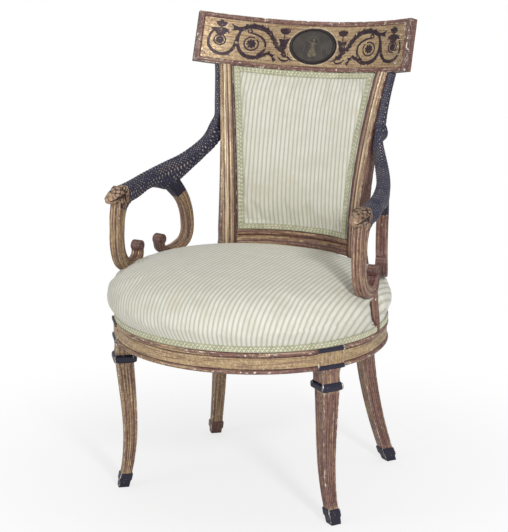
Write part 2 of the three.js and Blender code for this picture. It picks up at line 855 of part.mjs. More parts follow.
function roll(y) {
  const outward = armOutward(y);
  const middle = vec(armX(y), y, rollZ).addScaledVector(outward, -rollWidth / 2);
  const bevel = rollRadius * 0.12;
  return turned(middle, outward, [
    [0, 0], [0, rollRadius - bevel], [bevel, rollRadius],
    [rollWidth - bevel, rollRadius], [rollWidth, rollRadius - bevel], [rollWidth, 0],
  ], rollSides);
}

// Levels of the post that carries an arm: height, place across and size
const postLevels = [
  [scrollLow + scrollDepth / 2, armX(postY), postTopSize],
  [mix(railFaceTop, scrollLow, 0.6), mix(postFootX, armX(postY), 0.75), postTopSize * 0.9],
  [railFaceTop + fitGap, postFootX, postFootSize],
];

function post(grow = 0) {
  const rings = postLevels.map(([z, x, size]) => {
    const half = size / 2 + grow;
    const drop = grow > 0 && z < scrollLow ? grow : 0;
    return [[-1, -1], [1, -1], [1, 1], [-1, 1]].map(([a, b]) => {
      return vec(x + a * half, postY + b * half, z - drop);
    });
  });
  const start = vec(postFootX, postY, railFaceTop + fitGap + tenonRoot);
  const length = postTenonLength + tenonRoot + grow;
  const radius = postTenonRadius + grow;
  const tenon = turned(start, vec(0, 0, -1), [[0, 0], [0, radius], [length, radius], [length, 0]]);
  return joined([loft(rings), tenon]);
}

function scrollStations(shares, farY) {
  return shares.map(([along, rise, deep]) => {
    return [mix(ringMiddle, farY, along), mix(scrollLow, scrollHigh, rise), deep * scrollDepth];
  });
}

function frontScrollStrip(grow = 0) {
  return scrollStrip(scrollStations(frontScrollShares, scrollFront), 1, grow);
}

function rearScrollStrip(grow = 0) {
  return scrollStrip(scrollStations(rearScrollShares, scrollBack), -1, grow);
}

// Seat frame

const railSection = [
  [-railThickness, railBottom],
  [-railBeadProud, railBottom],
  [0, railBottom + 0.25 * railLowerBead],
  [0, railBottom + 0.75 * railLowerBead],
  [-railBeadProud, railBottom + railLowerBead],
  [-railBeadProud, railFaceTop - railUpperBead],
  [0, railFaceTop - 0.75 * railUpperBead],
  [0, railFaceTop - 0.25 * railUpperBead],
  [-0.5 * railBeadProud, railFaceTop],
  [-railTackingInset, railFaceTop],
  [-railTackingInset, railTop],
  [-railThickness, railTop],
];

// The legs' places in the rail ring, with the width that each takes out of it
const rearHead = uprightAt(mix(railBottom, railTop, 0.5));
const frontJoint = { ...frontHead, width: headWidth };
const rearOutline = seatPoint(rearAngle).sub(rearHead.centre).dot(rearHead.n);
const rearJoint = {
  ...rearHead,
  centre: rearHead.centre.clone().addScaledVector(rearHead.n, rearOutline),
  width: rearLegSize,
};

// The room that a leg's head takes between two rails
function headRoom(joint) {
  const half = joint.width / 2 + fitGap;
  const low = vec(-railThickness - cutOverrun, -half, railBottom - cutOverrun);
  return block(joint.centre, joint.n, joint.t, up, low, vec(3 * cutOverrun, half, railTop + cutOverrun));
}

// A rail's tongue into a leg, on the leg's far side for side = 1 or its near side for side = -1
function tenon(joint, side, grow = 0) {
  const outer = joint.width / 2 + tenonRoot + grow;
  const inner = joint.width / 2 - Math.min(tenonLength, 0.42 * joint.width) - grow;
  const middleZ = railBottom + railFaceHeight / 2;
  const middleN = -railThickness / 2 - railBeadProud / 2;
  const [near, far] = side > 0 ? [inner, outer] : [-outer, -inner];
  const low = vec(middleN - tenonThickness / 2 - grow, near, middleZ - tenonHeight / 2 - grow);
  const high = vec(middleN + tenonThickness / 2 + grow, far, middleZ + tenonHeight / 2 + grow);
  return block(joint.centre, joint.n, joint.t, up, low, high);
}

function mortised(solid, joint) {
  return cut(solid, tenon(joint, 1, fitGap), tenon(joint, -1, fitGap));
}

const railSweep = (from, to) => seatSweep(railSection, from, to);

function frontRail() {
  const room = headRoom(frontJoint);
  const rail = cut(railSweep(-frontLegSeatAngle, frontLegSeatAngle), room, mirrored(room));
  const tongue = tenon(frontJoint, -1);
  return joined([rail, tongue, mirrored(tongue)]);
}

function sideRail() {
  const rail = railSweep(frontLegSeatAngle, rearAngle);
  const trimmed = cut(rail, headRoom(frontJoint), headRoom(rearJoint), post(fitGap));
  return joined([trimmed, tenon(frontJoint, 1), tenon(rearJoint, -1)]);
}

function rearRail() {
  const room = headRoom(rearJoint);
  const rail = cut(railSweep(rearAngle, 2 * halfTurn - rearAngle), room, mirrored(room));
  const tongue = tenon(rearJoint, 1);
  return joined([rail, tongue, mirrored(tongue)]);
}

// Glue blocks behind the legs, each held by two screws.
// innerFace is where the leg's own inner face lies, counted outwards from the seat outline.

const frontInnerFace = -headDepth;
const rearInnerFace = -rearOutline - rearHead.depth / 2;
const blockZ = railTop - blockDrop - blockHeight / 2;

function blockStart(innerFace) {
  return Math.min(innerFace, -railThickness) - blockThickness;
}

function blockScrews(joint, innerFace, grow = 0) {
  return [-1, 1].map((side) => {
    const place = joint.centre.clone().addScaledVector(joint.n, blockStart(innerFace));
    place.addScaledVector(joint.t, (side * screwSpacing) / 2).setZ(blockZ);
    return screw(place, joint.n, screwLength, grow);
  });
}

function cornerBlock(joint, innerFace) {
  const low = vec(blockStart(innerFace), -blockLength / 2, blockZ - blockHeight / 2);
  const high = vec(innerFace - fitGap, blockLength / 2, blockZ + blockHeight / 2);
  const bar = block(joint.centre, joint.n, joint.t, up, low, high);
  const inside = seatDisc(railThickness + fitGap, railBottom, railTop);
  const slotLow = vec(blockStart(innerFace), -joint.width / 2, railBottom);
  const slotHigh = vec(innerFace, joint.width / 2, railTop);
  const slot = block(joint.centre, joint.n, joint.t, up, slotLow, slotHigh);
  return cut(bar.intersect(inside.add(slot)), ...blockScrews(joint, innerFace, fitGap));
}

// A countersunk screw from its head's outer face along a direction
function screw(place, direction, length, grow) {
  const radius = screwRadius + grow;
  const head = screwHeadRadius + grow;
  const shank = [[0, head], [screwHeadHeight, radius], [length + grow, radius], [length + grow, 0]];
  const start = grow > 0 ? [[-cutOverrun, 0], [-cutOverrun, head]] : [[0, 0]];
  return turned(place, direction, [...start, ...shank]);
}

// The screw that holds an arm runs from the inner side of the stile outwards
function armScrew(grow = 0) {
  const at = uprightAt(armScrewZ);
  const place = stileEdge(armScrewZ).addScaledVector(at.n, at.depth / 2).addScaledVector(at.t, -armScrewSink);
  return screw(place, at.t.clone().negate(), armScrewLength, grow);
}

// Back rail, between the stiles

function backRail() {
  const columns = 12;
  const reach = stileEdge(backRailTop).x + backRailReach;
  const rings = [];
  for (let i = 0; i <= columns; i++) {
    const x = mix(-reach, reach, i / columns);
    rings.push(backRailShares.map(([deep, rise]) => {
      const z = mix(backRailBottom, backRailTop, rise);
      const p = vec(x, backSurface(x, z), z);
      return p.addScaledVector(backNormal(x, z).setZ(0), backRailInset + deep * backRailThickness);
    }));
  }
  const tongue = backTenon();
  const stile = uprightRoom(fitGap);
  return joined([cut(loft(rings), stile, mirrored(stile)), tongue, mirrored(tongue)]);
}

function backTenon(grow = 0) {
  const z = mix(backRailBottom, backRailTop, 0.5);
  const at = uprightAt(z);
  const middle = backRailInset + backRailThickness / 2;
  const half = vec(backTenonThickness / 2 + grow, 0, backTenonHeight / 2 + grow);
  const low = vec(middle - half.x, -backTenonLength - grow, -half.z);
  return block(stileEdge(z), at.n, at.t, up, low, vec(middle + half.x, tenonRoot, half.z));
}

// Seat upholstery

// Everything that rises through the seat's cloths and cushion, grown by a clearance
function seatTools(grow) {
  const tools = [uprightRoom(grow), postNotch(grow), frontScrollStrip(grow), rearScrollStrip(grow)];
  return tools.flatMap((tool) => [tool, mirrored(tool)]);
}

// The slot in the cushion's edge for an arm's post
function postNotch(grow) {
  const rings = postLevels.map(([z, x, size], i) => {
    const half = size / 2 + grow;
    const drop = i === postLevels.length - 1 ? cutOverrun : 0;
    const reach = armWidth + cushionBulge;
    return [[-half, -half], [reach, -half], [reach, half], [-half, half]].map(([a, b]) => {
      return vec(x + a, postY + b, z - drop);
    });
  });
  return loft(rings);
}

// The cushion as a domed solid, inset from its outer skin, from a low edge up
function cushionDome(inset, low) {
  const crown = cushionCrownZ - inset;
  const ring = (out, scale, z) => seatRing(out - inset, z, scale);
  const knots = [
    [-coverInset, cushionWaistZ],
    [cushionShoulderOut, cushionShoulderZ],
    [cushionBulge, cushionWidestZ],
  ];
  const above = knots.filter(([, z]) => z > low);
  const before = knots[knots.length - above.length - 1] ?? [-coverInset, low];
  const start = mix(before[0], above[0][0], shareOf(low, before[1], above[0][1]));
  const rings = [ring(start, 1, low), ...above.map(([out, z]) => ring(out, 1, z))];
  for (const share of cushionTurnShares) {
    const turn = share * halfTurn * degree / 2;
    const scale = Math.cos(turn) ** (2 / cushionSidePower);
    const rise = Math.sin(turn) ** (2 / cushionTopPower);
    rings.push(ring(cushionBulge, scale, mix(cushionWidestZ, crown, rise)));
  }
  return loft([...rings, ring(cushionBulge, crownShare, crown)]);
}

const webLow = railTop + fitGap;
const baseClothLow = webLow + (1 + webLapShare) * webThickness + fitGap;
const stuffingLow = baseClothLow + clothThickness + fitGap;

function seatWebbing() {
  const half = webWidth / 2;
  const straps = [];
  for (let i = 0; i < webCount; i++) {
    const place = (i - (webCount - 1) / 2) * webPitch;
    for (const [axis, z] of [[0, webLow], [1, webLow + webLapShare * webThickness]]) {
      const low = vec(place - half, -seatHalfWidth, z);
      const high = vec(place + half, seatHalfWidth, z + webThickness);
      const u = axis === 0 ? vec(1, 0, 0) : vec(0, 1, 0);
      const v = axis === 0 ? vec(0, 1, 0) : vec(-1, 0, 0);
      straps.push(block(vec(0, 0, 0), u, v, up, low, high));
    }
  }
  const inside = seatDisc(webInset, railBottom, cushionCrownZ);
  return cut(joined(straps).intersect(inside), ...seatTools(softGap));
}

function seatCover() {
  const outer = cut(cushionDome(0, railFaceTop + softGap), ...seatTools(softGap));
  const inner = cut(cushionDome(coverThickness, railFaceTop), ...seatTools(softGap + coverThickness));
  return cut(outer, inner, seatDisc(coverInset + coverThickness, railBottom, stuffingLow));
}

function seatStuffing() {
  const inset = coverThickness + fitGap;
  return cut(cushionDome(inset, stuffingLow), ...seatTools(softGap + inset));
}

// Gimp along the seat's edge between two angles
function seatGimp(from, to) {
  const inner = fitGap - coverInset;
  const outer = inner + gimpThickness;
  const low = railFaceTop + fitGap;
  const high = low + gimpHeight;
  const section = [[inner, low], [outer, low], [outer, high], [inner, high]];
  return seatSweep(section, from, to);
}

// Back upholstery

// A closed sheet between two depth functions of the shares across and up
function backSheet(frontDepth, backDepth, present = () => true) {
  const grid = (depth) => backColumnShares.map((across) => backRowShares.map((rise) => {
    return backPoint(across, rise, depth(across, rise), -backOverlap, backEndGap);
  }));
  return sheetSolid(grid(frontDepth), grid(backDepth), present);
}

// A solid between two grids of places; fields that are not present are left open
function sheetSolid(front, back, present) {
  const columns = front.length;
  const rows = front[0].length;
  const points = [...front.flat(), ...back.flat()];
  const at = (side, i, j) => side * columns * rows + i * rows + j;
  const inGrid = (i, j) => i >= 0 && j >= 0 && i < columns - 1 && j < rows - 1 && present(i, j);
  const index = [];
  const quad = (a, b, c, d) => index.push(a, b, c, a, c, d);
  const wall = (i, j, k, l) => quad(at(0, i, j), at(0, k, l), at(1, k, l), at(1, i, j));
  for (let i = 0; i < columns - 1; i++) {
    for (let j = 0; j < rows - 1; j++) {
      if (!present(i, j)) continue;
      quad(at(0, i, j), at(0, i + 1, j), at(0, i + 1, j + 1), at(0, i, j + 1));
      quad(at(1, i, j), at(1, i, j + 1), at(1, i + 1, j + 1), at(1, i + 1, j));
      if (!inGrid(i, j - 1)) wall(i + 1, j, i, j);
      if (!inGrid(i, j + 1)) wall(i, j + 1, i + 1, j + 1);
      if (!inGrid(i - 1, j)) wall(i, j, i, j + 1);
      if (!inGrid(i + 1, j)) wall(i + 1, j + 1, i + 1, j);
    }
  }
  const positions = points.flatMap((p) => [p.x, p.y, p.z]);
  const geometry = new THREE.BufferGeometry();
  geometry.setAttribute('position', new THREE.Float32BufferAttribute(positions, 3));
  geometry.setIndex(signedVolume(positions, index) < 0 ? flipped(index) : index);
  return toSolid(geometry);
}

// How far the back pad swells at a place: nothing on its border, all of its crown in the middle
function backSwell(across, rise) {
  const side = Math.min(Math.abs(across) / backBorderShare, 1);
  const end = Math.min(Math.abs(2 * rise - 1) / backBorderEndShare, 1);
  return backCrown * (1 - side ** 3) * (1 - end ** 4);
}

// The back's sheets are made a little too large and then trimmed to the frame
function trimmed(solid) {
  const stile = uprightRoom(fitGap);
  return largest(cut(solid, stile, mirrored(stile), aboveCrestEdge()));
}

function backLayer(frontDepth, backDepth) {
  return trimmed(backSheet(frontDepth, backDepth));
}

function flatBackLayer(depth, thickness) {
  return backLayer(() => depth, () => depth + thickness);
}

function backWebbing() {
  const low = backClothDepth + clothThickness + fitGap;
  const woven = (i, j) => i % 2 === 1 || j % 2 === 1;
  return trimmed(backSheet(() => low, () => low + webThickness, woven));
}

function backGimp() {
  const columns = backColumnShares.slice(0, -1);
  const rows = backRowShares.slice(0, -1);
  const stations = [
    ...columns.map((across) => [across, 0]),
    ...rows.map((rise) => [1, rise]),
    ...columns.map((across) => [-across, 1]),
    ...rows.map((rise) => [-1, 1 - rise]),
  ];
  const near = softGap;
  const far = softGap + gimpHeight;
  return loft(stations.map(([across, rise]) => [
    backPoint(across, rise, -backGimpLift, near, near),
    backPoint(across, rise, -backGimpLift - gimpThickness, near, near),
    backPoint(across, rise, -backGimpLift - gimpThickness, far, far),
    backPoint(across, rise, -backGimpLift, far, far),
  ]), true);
}

const group = new THREE.Group();

function add(name, solid, look) {
  const mesh = new THREE.Mesh(toGeometry(solid), new THREE.MeshStandardMaterial(look));
  mesh.name = name;
  group.add(mesh);
}

function addPair(name, solid, look) {
  add(`${name}_left`, mirrored(solid), look);
  add(`${name}_right`, solid, look);
}

// Hole cutters on one side, with clearance
const frontHoles = blockScrews(frontJoint, frontInnerFace, fitGap);
const rearHoles = blockScrews(rearJoint, rearInnerFace, fitGap);

const frontLegBody = cut(mortised(frontLeg(), frontJoint), ...frontHoles);
const uprightBody = joined([cut(upright(), aboveCrestEdge()), stileTenon(0)]);
const uprightTools = [backTenon(fitGap), armScrew(fitGap)];
const crestTenon = stileTenon(fitGap);

add('front_rail', frontRail(), gilt);
addPair('side_rail', cut(sideRail(), ...rearHoles), gilt);
add('rear_rail', cut(rearRail(), ...rearHoles, ...rearHoles.map(mirrored)), gilt);
addPair('front_leg', frontLegBody, gilt);
addPair('rear_upright', cut(mortised(uprightBody, rearJoint), ...uprightTools), gilt);
add('back_rail', backRail(), gilt);
add('crest_rail', cut(crestRail(), crestTenon, mirrored(crestTenon)), gilt);
add('crest_medallion', medallion(), medallionGrey);

const armTools = [uprightRoom(fitGap), armScrew(fitGap), aboveCrestEdge()];
const frontScroll = joined([frontScrollStrip(), roll(frontRollY), post()]);
addPair('serpent_arm', cut(serpent(), ...armTools), serpentBlack);
addPair('front_scroll', cut(frontScroll, serpent(fitGap)), giltDark);
addPair('rear_scroll', cut(rearScrollStrip().add(roll(rearRollY)), serpent(fitGap)), giltDark);

addPair('front_corner_block', cornerBlock(frontJoint, frontInnerFace), rawWood);
addPair('rear_corner_block', cut(cornerBlock(rearJoint, rearInnerFace), uprightRoom(fitGap)), rawWood);
blockScrews(frontJoint, frontInnerFace).forEach((solid, i) => {
  addPair(`front_block_screw_${i + 1}`, solid, steel);
});
blockScrews(rearJoint, rearInnerFace).forEach((solid, i) => {
  addPair(`rear_block_screw_${i + 1}`, solid, steel);
});
addPair('arm_screw', armScrew(), steel);

const seatCloth = seatDisc(clothInset, baseClothLow, baseClothLow + clothThickness);
const bottomClothTop = railBottom - fitGap;
const bottomCloth = seatDisc(bottomClothInset, bottomClothTop - clothThickness, bottomClothTop);
const neckHalf = neckFlareSize / 2 + softGap;
const neckLow = vec(-frontLegInset - neckHalf, -neckHalf, 0);
const neckHigh = vec(neckHalf, neckHalf, railTop);
const neckRoom = block(frontHead.centre, frontHead.n, frontHead.t, up, neckLow, neckHigh);
const bottomTools = [neckRoom, uprightRoom(softGap)].flatMap((tool) => [tool, mirrored(tool)]);
add('seat_webbing', seatWebbing(), jute);
add('seat_base_cloth', cut(seatCloth, ...seatTools(softGap)), linen);
add('seat_stuffing', seatStuffing(), hair);
add('seat_cover', seatCover(), stripedSilk);
add('seat_bottom_cloth', cut(bottomCloth, ...bottomTools), linen);

const gimpTools = seatTools(softGap);
const postAngle = halfTurn / 2 + Math.asin(postY / seatBackDepth) / degree;
add('seat_gimp_front', cut(seatGimp(-postAngle, postAngle), ...gimpTools), gimpGreen);
addPair('seat_gimp_side', cut(seatGimp(postAngle, rearAngle), ...gimpTools), gimpGreen);
add('seat_gimp_rear', cut(seatGimp(rearAngle, 2 * halfTurn - rearAngle), ...gimpTools), gimpGreen);

const padFront = (across, rise) => fitGap - backSwell(across, rise);
const stuffingFront = (across, rise) => padFront(across, rise) + coverThickness + fitGap;
add('back_webbing', backWebbing(), jute);
add('back_base_cloth', flatBackLayer(backClothDepth, clothThickness), linen);
add('back_stuffing', backLayer(stuffingFront, () => backClothDepth - fitGap), hair);
const coverBack = (across, rise) => padFront(across, rise) + coverThickness;
add('back_cover', backLayer(padFront, coverBack), stripedSilk);
add('back_gimp', backGimp(), gimpGreen);
add('outside_back_cover', flatBackLayer(outsideCoverDepth, coverThickness), stripedSilk);

// The origin is under the middle of the whole chair
const middle = new THREE.Box3().setFromObject(group).getCenter(vec(0, 0, 0));
group.position.y = -middle.y;

export default group;
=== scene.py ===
import math

import bpy
import numpy as np
from mathutils import Matrix, Vector


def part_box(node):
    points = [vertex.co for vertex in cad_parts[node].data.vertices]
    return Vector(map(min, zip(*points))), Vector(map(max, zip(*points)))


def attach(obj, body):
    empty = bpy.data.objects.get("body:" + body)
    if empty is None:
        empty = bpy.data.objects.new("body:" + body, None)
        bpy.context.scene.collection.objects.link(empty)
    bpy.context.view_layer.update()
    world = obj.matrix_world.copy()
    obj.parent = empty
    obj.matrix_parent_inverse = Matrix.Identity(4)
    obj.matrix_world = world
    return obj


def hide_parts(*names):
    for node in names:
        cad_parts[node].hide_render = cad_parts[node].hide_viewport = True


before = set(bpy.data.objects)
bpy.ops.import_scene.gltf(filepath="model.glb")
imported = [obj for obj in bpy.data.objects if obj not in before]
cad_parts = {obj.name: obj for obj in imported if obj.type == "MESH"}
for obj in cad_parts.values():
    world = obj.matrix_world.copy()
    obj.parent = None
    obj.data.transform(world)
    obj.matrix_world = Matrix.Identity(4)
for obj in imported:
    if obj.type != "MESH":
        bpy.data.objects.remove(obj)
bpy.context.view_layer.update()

MM = 0.001
SCENE = bpy.context.scene

# The part's own sizes are in millimetres from the middle of the seat.
# SHIFT is how far that middle lies from the origin of the frame.
SEAT_FRONT = 249.0
SHIFT = np.array([0.0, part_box("front_rail")[0][1] / MM + SEAT_FRONT, 0.0])

# Camera, fitted to the photograph

IMAGE = (508, 532)
FOCAL_PIXELS = 1582.69
CAMERA_PLACE = (1292.8, -2726.7, 1191.5)
AZIMUTH, PITCH, ROLL = math.radians(25.17), math.radians(13.68), math.radians(-0.11)


def make_camera():
    back = Vector((math.sin(AZIMUTH) * math.cos(PITCH), -math.cos(AZIMUTH) * math.cos(PITCH), math.sin(PITCH)))
    level = Vector((math.cos(AZIMUTH), math.sin(AZIMUTH), 0))
    above = back.cross(level)
    right = level * math.cos(ROLL) + above * math.sin(ROLL)
    up = above * math.cos(ROLL) - level * math.sin(ROLL)
    data = bpy.data.cameras.new("camera")
    data.sensor_width = 36
    data.lens = FOCAL_PIXELS * data.sensor_width / max(IMAGE)
    camera = bpy.data.objects.new("camera", data)
    SCENE.collection.objects.link(camera)
    place = (np.array(CAMERA_PLACE) + SHIFT) * MM
    turn = Matrix((right, up, back)).transposed().to_4x4()
    camera.matrix_world = Matrix.Translation(place) @ turn
    SCENE.camera = camera


make_camera()

# Arithmetic on arrays


def mix(a, b, t):
    return a + (b - a) * t


def share(value, low, high):
    return np.clip((value - low) / (high - low), 0, 1)


def smooth(value, low, high):
    t = share(value, low, high)
    return t * t * (3 - 2 * t)


def unit(v):
    return v / np.linalg.norm(v, axis=-1, keepdims=True)


def spline(points, per_span):
    """A smooth curve through rows of numbers, with per_span steps between two rows."""
    p = np.asarray(points, float)
    p = np.vstack([2 * p[0] - p[1], p, 2 * p[-1] - p[-2]])
    t = np.linspace(0, 1, per_span, endpoint=False)[:, None]
    out = []
    for i in range(1, len(p) - 2):
        a, b, c, d = p[i - 1], p[i], p[i + 1], p[i + 2]
        curve = 2 * b + (c - a) * t + (2 * a - 5 * b + 4 * c - d) * t ** 2 + (3 * b - a - 3 * c + d) * t ** 3
        out.append(curve / 2)
    return np.vstack(out + [p[-2][None]])


def resample(points, step):
    """The same rows of numbers at even steps along the curve of their first three."""
    p = np.asarray(points, float)
    run = np.concatenate([[0], np.cumsum(np.linalg.norm(np.diff(p[:, :3], axis=0), axis=1))])
    count = max(int(round(run[-1] / step)), 2)
    at = np.linspace(0, run[-1], count + 1)
    return np.stack([np.interp(at, run, p[:, k]) for k in range(p.shape[1])], 1), at


def noise_table(seed, size=64):
    return np.random.default_rng(seed).random((size, size))


def wander(u, v, seed):
    """Smooth random numbers from 0 to 1 over two coordinates."""
    table = noise_table(seed)
    n = len(table)
    iu, iv = np.floor(u).astype(int), np.floor(v).astype(int)
    fu, fv = u - iu, v - iv
    fu, fv = fu * fu * (3 - 2 * fu), fv * fv * (3 - 2 * fv)
    low = mix(table[iu % n, iv % n], table[(iu + 1) % n, iv % n], fu)
    high = mix(table[iu % n, (iv + 1) % n], table[(iu + 1) % n, (iv + 1) % n], fu)
    return mix(low, high, fv)


# Meshes


def loft_faces(rows, count, closed=False, caps=True):
    index = np.arange(rows * count).reshape(rows, count)
    after = np.roll(index, -1, axis=1)
    if closed:
        a, b, c, d = index, after, np.roll(after, -1, axis=0), np.roll(index, -1, axis=0)
    else:
        a, b, c, d = index[:-1], after[:-1], after[1:], index[1:]
    faces = np.stack([a, b, c, d], -1).reshape(-1, 4).tolist()
    if caps and not closed:
        faces += [index[0][::-1].tolist(), index[-1].tolist()]
    return faces


def grid_faces(rows, count, start=0):
    index = start + np.arange(rows * count).reshape(rows, count)
    quads = np.stack([index[:-1, :-1], index[:-1, 1:], index[1:, 1:], index[1:, :-1]], -1)
    return quads.reshape(-1, 4).tolist()


def volume_sign(points, faces):
    total = 0.0
    quads = np.array([f for f in faces if len(f) == 4])
    for k in (1, 2):
        a, b, c = points[quads[:, 0]], points[quads[:, k]], points[quads[:, k + 1]]
        total += np.einsum("ij,ij->i", a, np.cross(b, c)).sum()
    for f in faces:
        if len(f) != 4:
            p = points[f]
            total += np.einsum("ij,ij->i", np.cross(p[1:-1], p[2:]), np.broadcast_to(p[0], p[2:].shape)).sum()
    return total


def build(name, points, faces, material, nodes=(), marks=None, sharp=38, turn=True, side=1):
    """Makes a piece from millimetre points and dresses it. side=-1 makes its mirror image."""
    points = np.asarray(points, float).reshape(-1, 3)
    if turn and volume_sign(points - points.mean(0), faces) < 0:
        faces = [f[::-1] for f in faces]
    if side < 0:
        points = points * [-1, 1, 1]
        faces = [f[::-1] for f in faces]
    mesh = bpy.data.meshes.new(name)
    mesh.from_pydata(((points + SHIFT) * MM).tolist(), [], faces)
    mesh.polygons.foreach_set("use_smooth", [True] * len(mesh.polygons))
    if sharp:
        mesh.set_sharp_from_angle(angle=math.radians(sharp))
    for key, values in (marks or {}).items():
        values = np.asarray(values, float)
        if values.ndim == 1:
            mesh.attributes.new(key, "FLOAT", "POINT").data.foreach_set("value", values)
        else:
            mesh.attributes.new(key, "FLOAT_VECTOR", "POINT").data.foreach_set("vector", values.ravel())
    mesh.materials.append(material)
    piece = bpy.data.objects.new(name, mesh)
    SCENE.collection.objects.link(piece)
    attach(piece, "root")
    if nodes:
        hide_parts(*nodes)
    return piece


def build_pair(name, points, faces, material, marks=None, sharp=38, nodes=None):
    made = []
    for word, side in (("right", 1), ("left", -1)):
        names = [f"{n}_{word}" for n in (nodes or [name])]
        made.append(build(f"{name}_piece_{word}", points, faces, material, names, marks, sharp, True, side))
    return made


# Materials


def rgb(red, green, blue):
    def line(c):
        c /= 255
        return c / 12.92 if c <= 0.04045 else ((c + 0.055) / 1.055) ** 2.4
    return (line(red), line(green), line(blue), 1.0)


class Paint:
    """A node material, built up from small steps."""

    def __init__(self, name, roughness=0.5, metallic=0.0):
        self.material = bpy.data.materials.new(name)
        self.material.use_nodes = True
        self.tree = self.material.node_tree
        self.shader = self.tree.nodes["Principled BSDF"]
        self.shader.inputs["Roughness"].default_value = roughness
        self.shader.inputs["Metallic"].default_value = metallic
        self.place = self.tree.nodes.new("ShaderNodeTexCoord").outputs["Object"]

    def node(self, kind, **settings):
        node = self.tree.nodes.new(kind)
        for key, value in settings.items():
            setattr(node, key, value)
        return node

    def plug(self, value, socket):
        if isinstance(value, bpy.types.NodeSocket):
            self.tree.links.new(value, socket)
        else:
            socket.default_value = value

    def mark(self, name, vector=False):
        return self.node("ShaderNodeAttribute", attribute_name=name).outputs["Vector" if vector else "Fac"]

    def math(self, operation, a, b=0.5, clamp=False):
        node = self.node("ShaderNodeMath", operation=operation, use_clamp=clamp)
        self.plug(a, node.inputs[0])
        self.plug(b, node.inputs[1])
        return node.outputs[0]

    def scaled(self, where, size):
        node = self.node("ShaderNodeVectorMath", operation="MULTIPLY")
        self.plug(where, node.inputs[0])
        node.inputs[1].default_value = size
        return node.outputs[0]

    def noise(self, scale, detail=4.0, roughness=0.55, where=None, distortion=0.0):
        node = self.node("ShaderNodeTexNoise")
        self.plug(self.place if where is None else where, node.inputs["Vector"])
        node.inputs["Scale"].default_value = scale
        node.inputs["Detail"].default_value = detail
        node.inputs["Roughness"].default_value = roughness
        node.inputs["Distortion"].default_value = distortion
        return node.outputs["Fac"]

    def steps(self, value, low, high, to_low=0.0, to_high=1.0):
        node = self.node("ShaderNodeMapRange", interpolation_type="SMOOTHSTEP")
        self.plug(value, node.inputs["Value"])
        node.inputs["From Min"].default_value = low
        node.inputs["From Max"].default_value = high
        node.inputs["To Min"].default_value = to_low
        node.inputs["To Max"].default_value = to_high
        return node.outputs["Result"]

    def mix(self, factor, a, b, blend="MIX"):
        node = self.node("ShaderNodeMix", data_type="RGBA", blend_type=blend)
        self.plug(factor, node.inputs[0])
        self.plug(a, node.inputs[6])
        self.plug(b, node.inputs[7])
        return node.outputs[2]

    def axis(self, where, name):
        node = self.node("ShaderNodeSeparateXYZ")
        self.plug(where, node.inputs[0])
        return node.outputs[name]

    def colour(self, value):
        self.plug(value, self.shader.inputs["Base Color"])

    def roughness(self, value):
        self.plug(value, self.shader.inputs["Roughness"])

    def metal(self, value):
        self.plug(value, self.shader.inputs["Metallic"])

    def bump(self, height, distance, strength=1.0):
        node = self.node("ShaderNodeBump")
        node.inputs["Strength"].default_value = strength
        node.inputs["Distance"].default_value = distance
        self.plug(height, node.inputs["Height"])
        self.tree.links.new(node.outputs["Normal"], self.shader.inputs["Normal"])


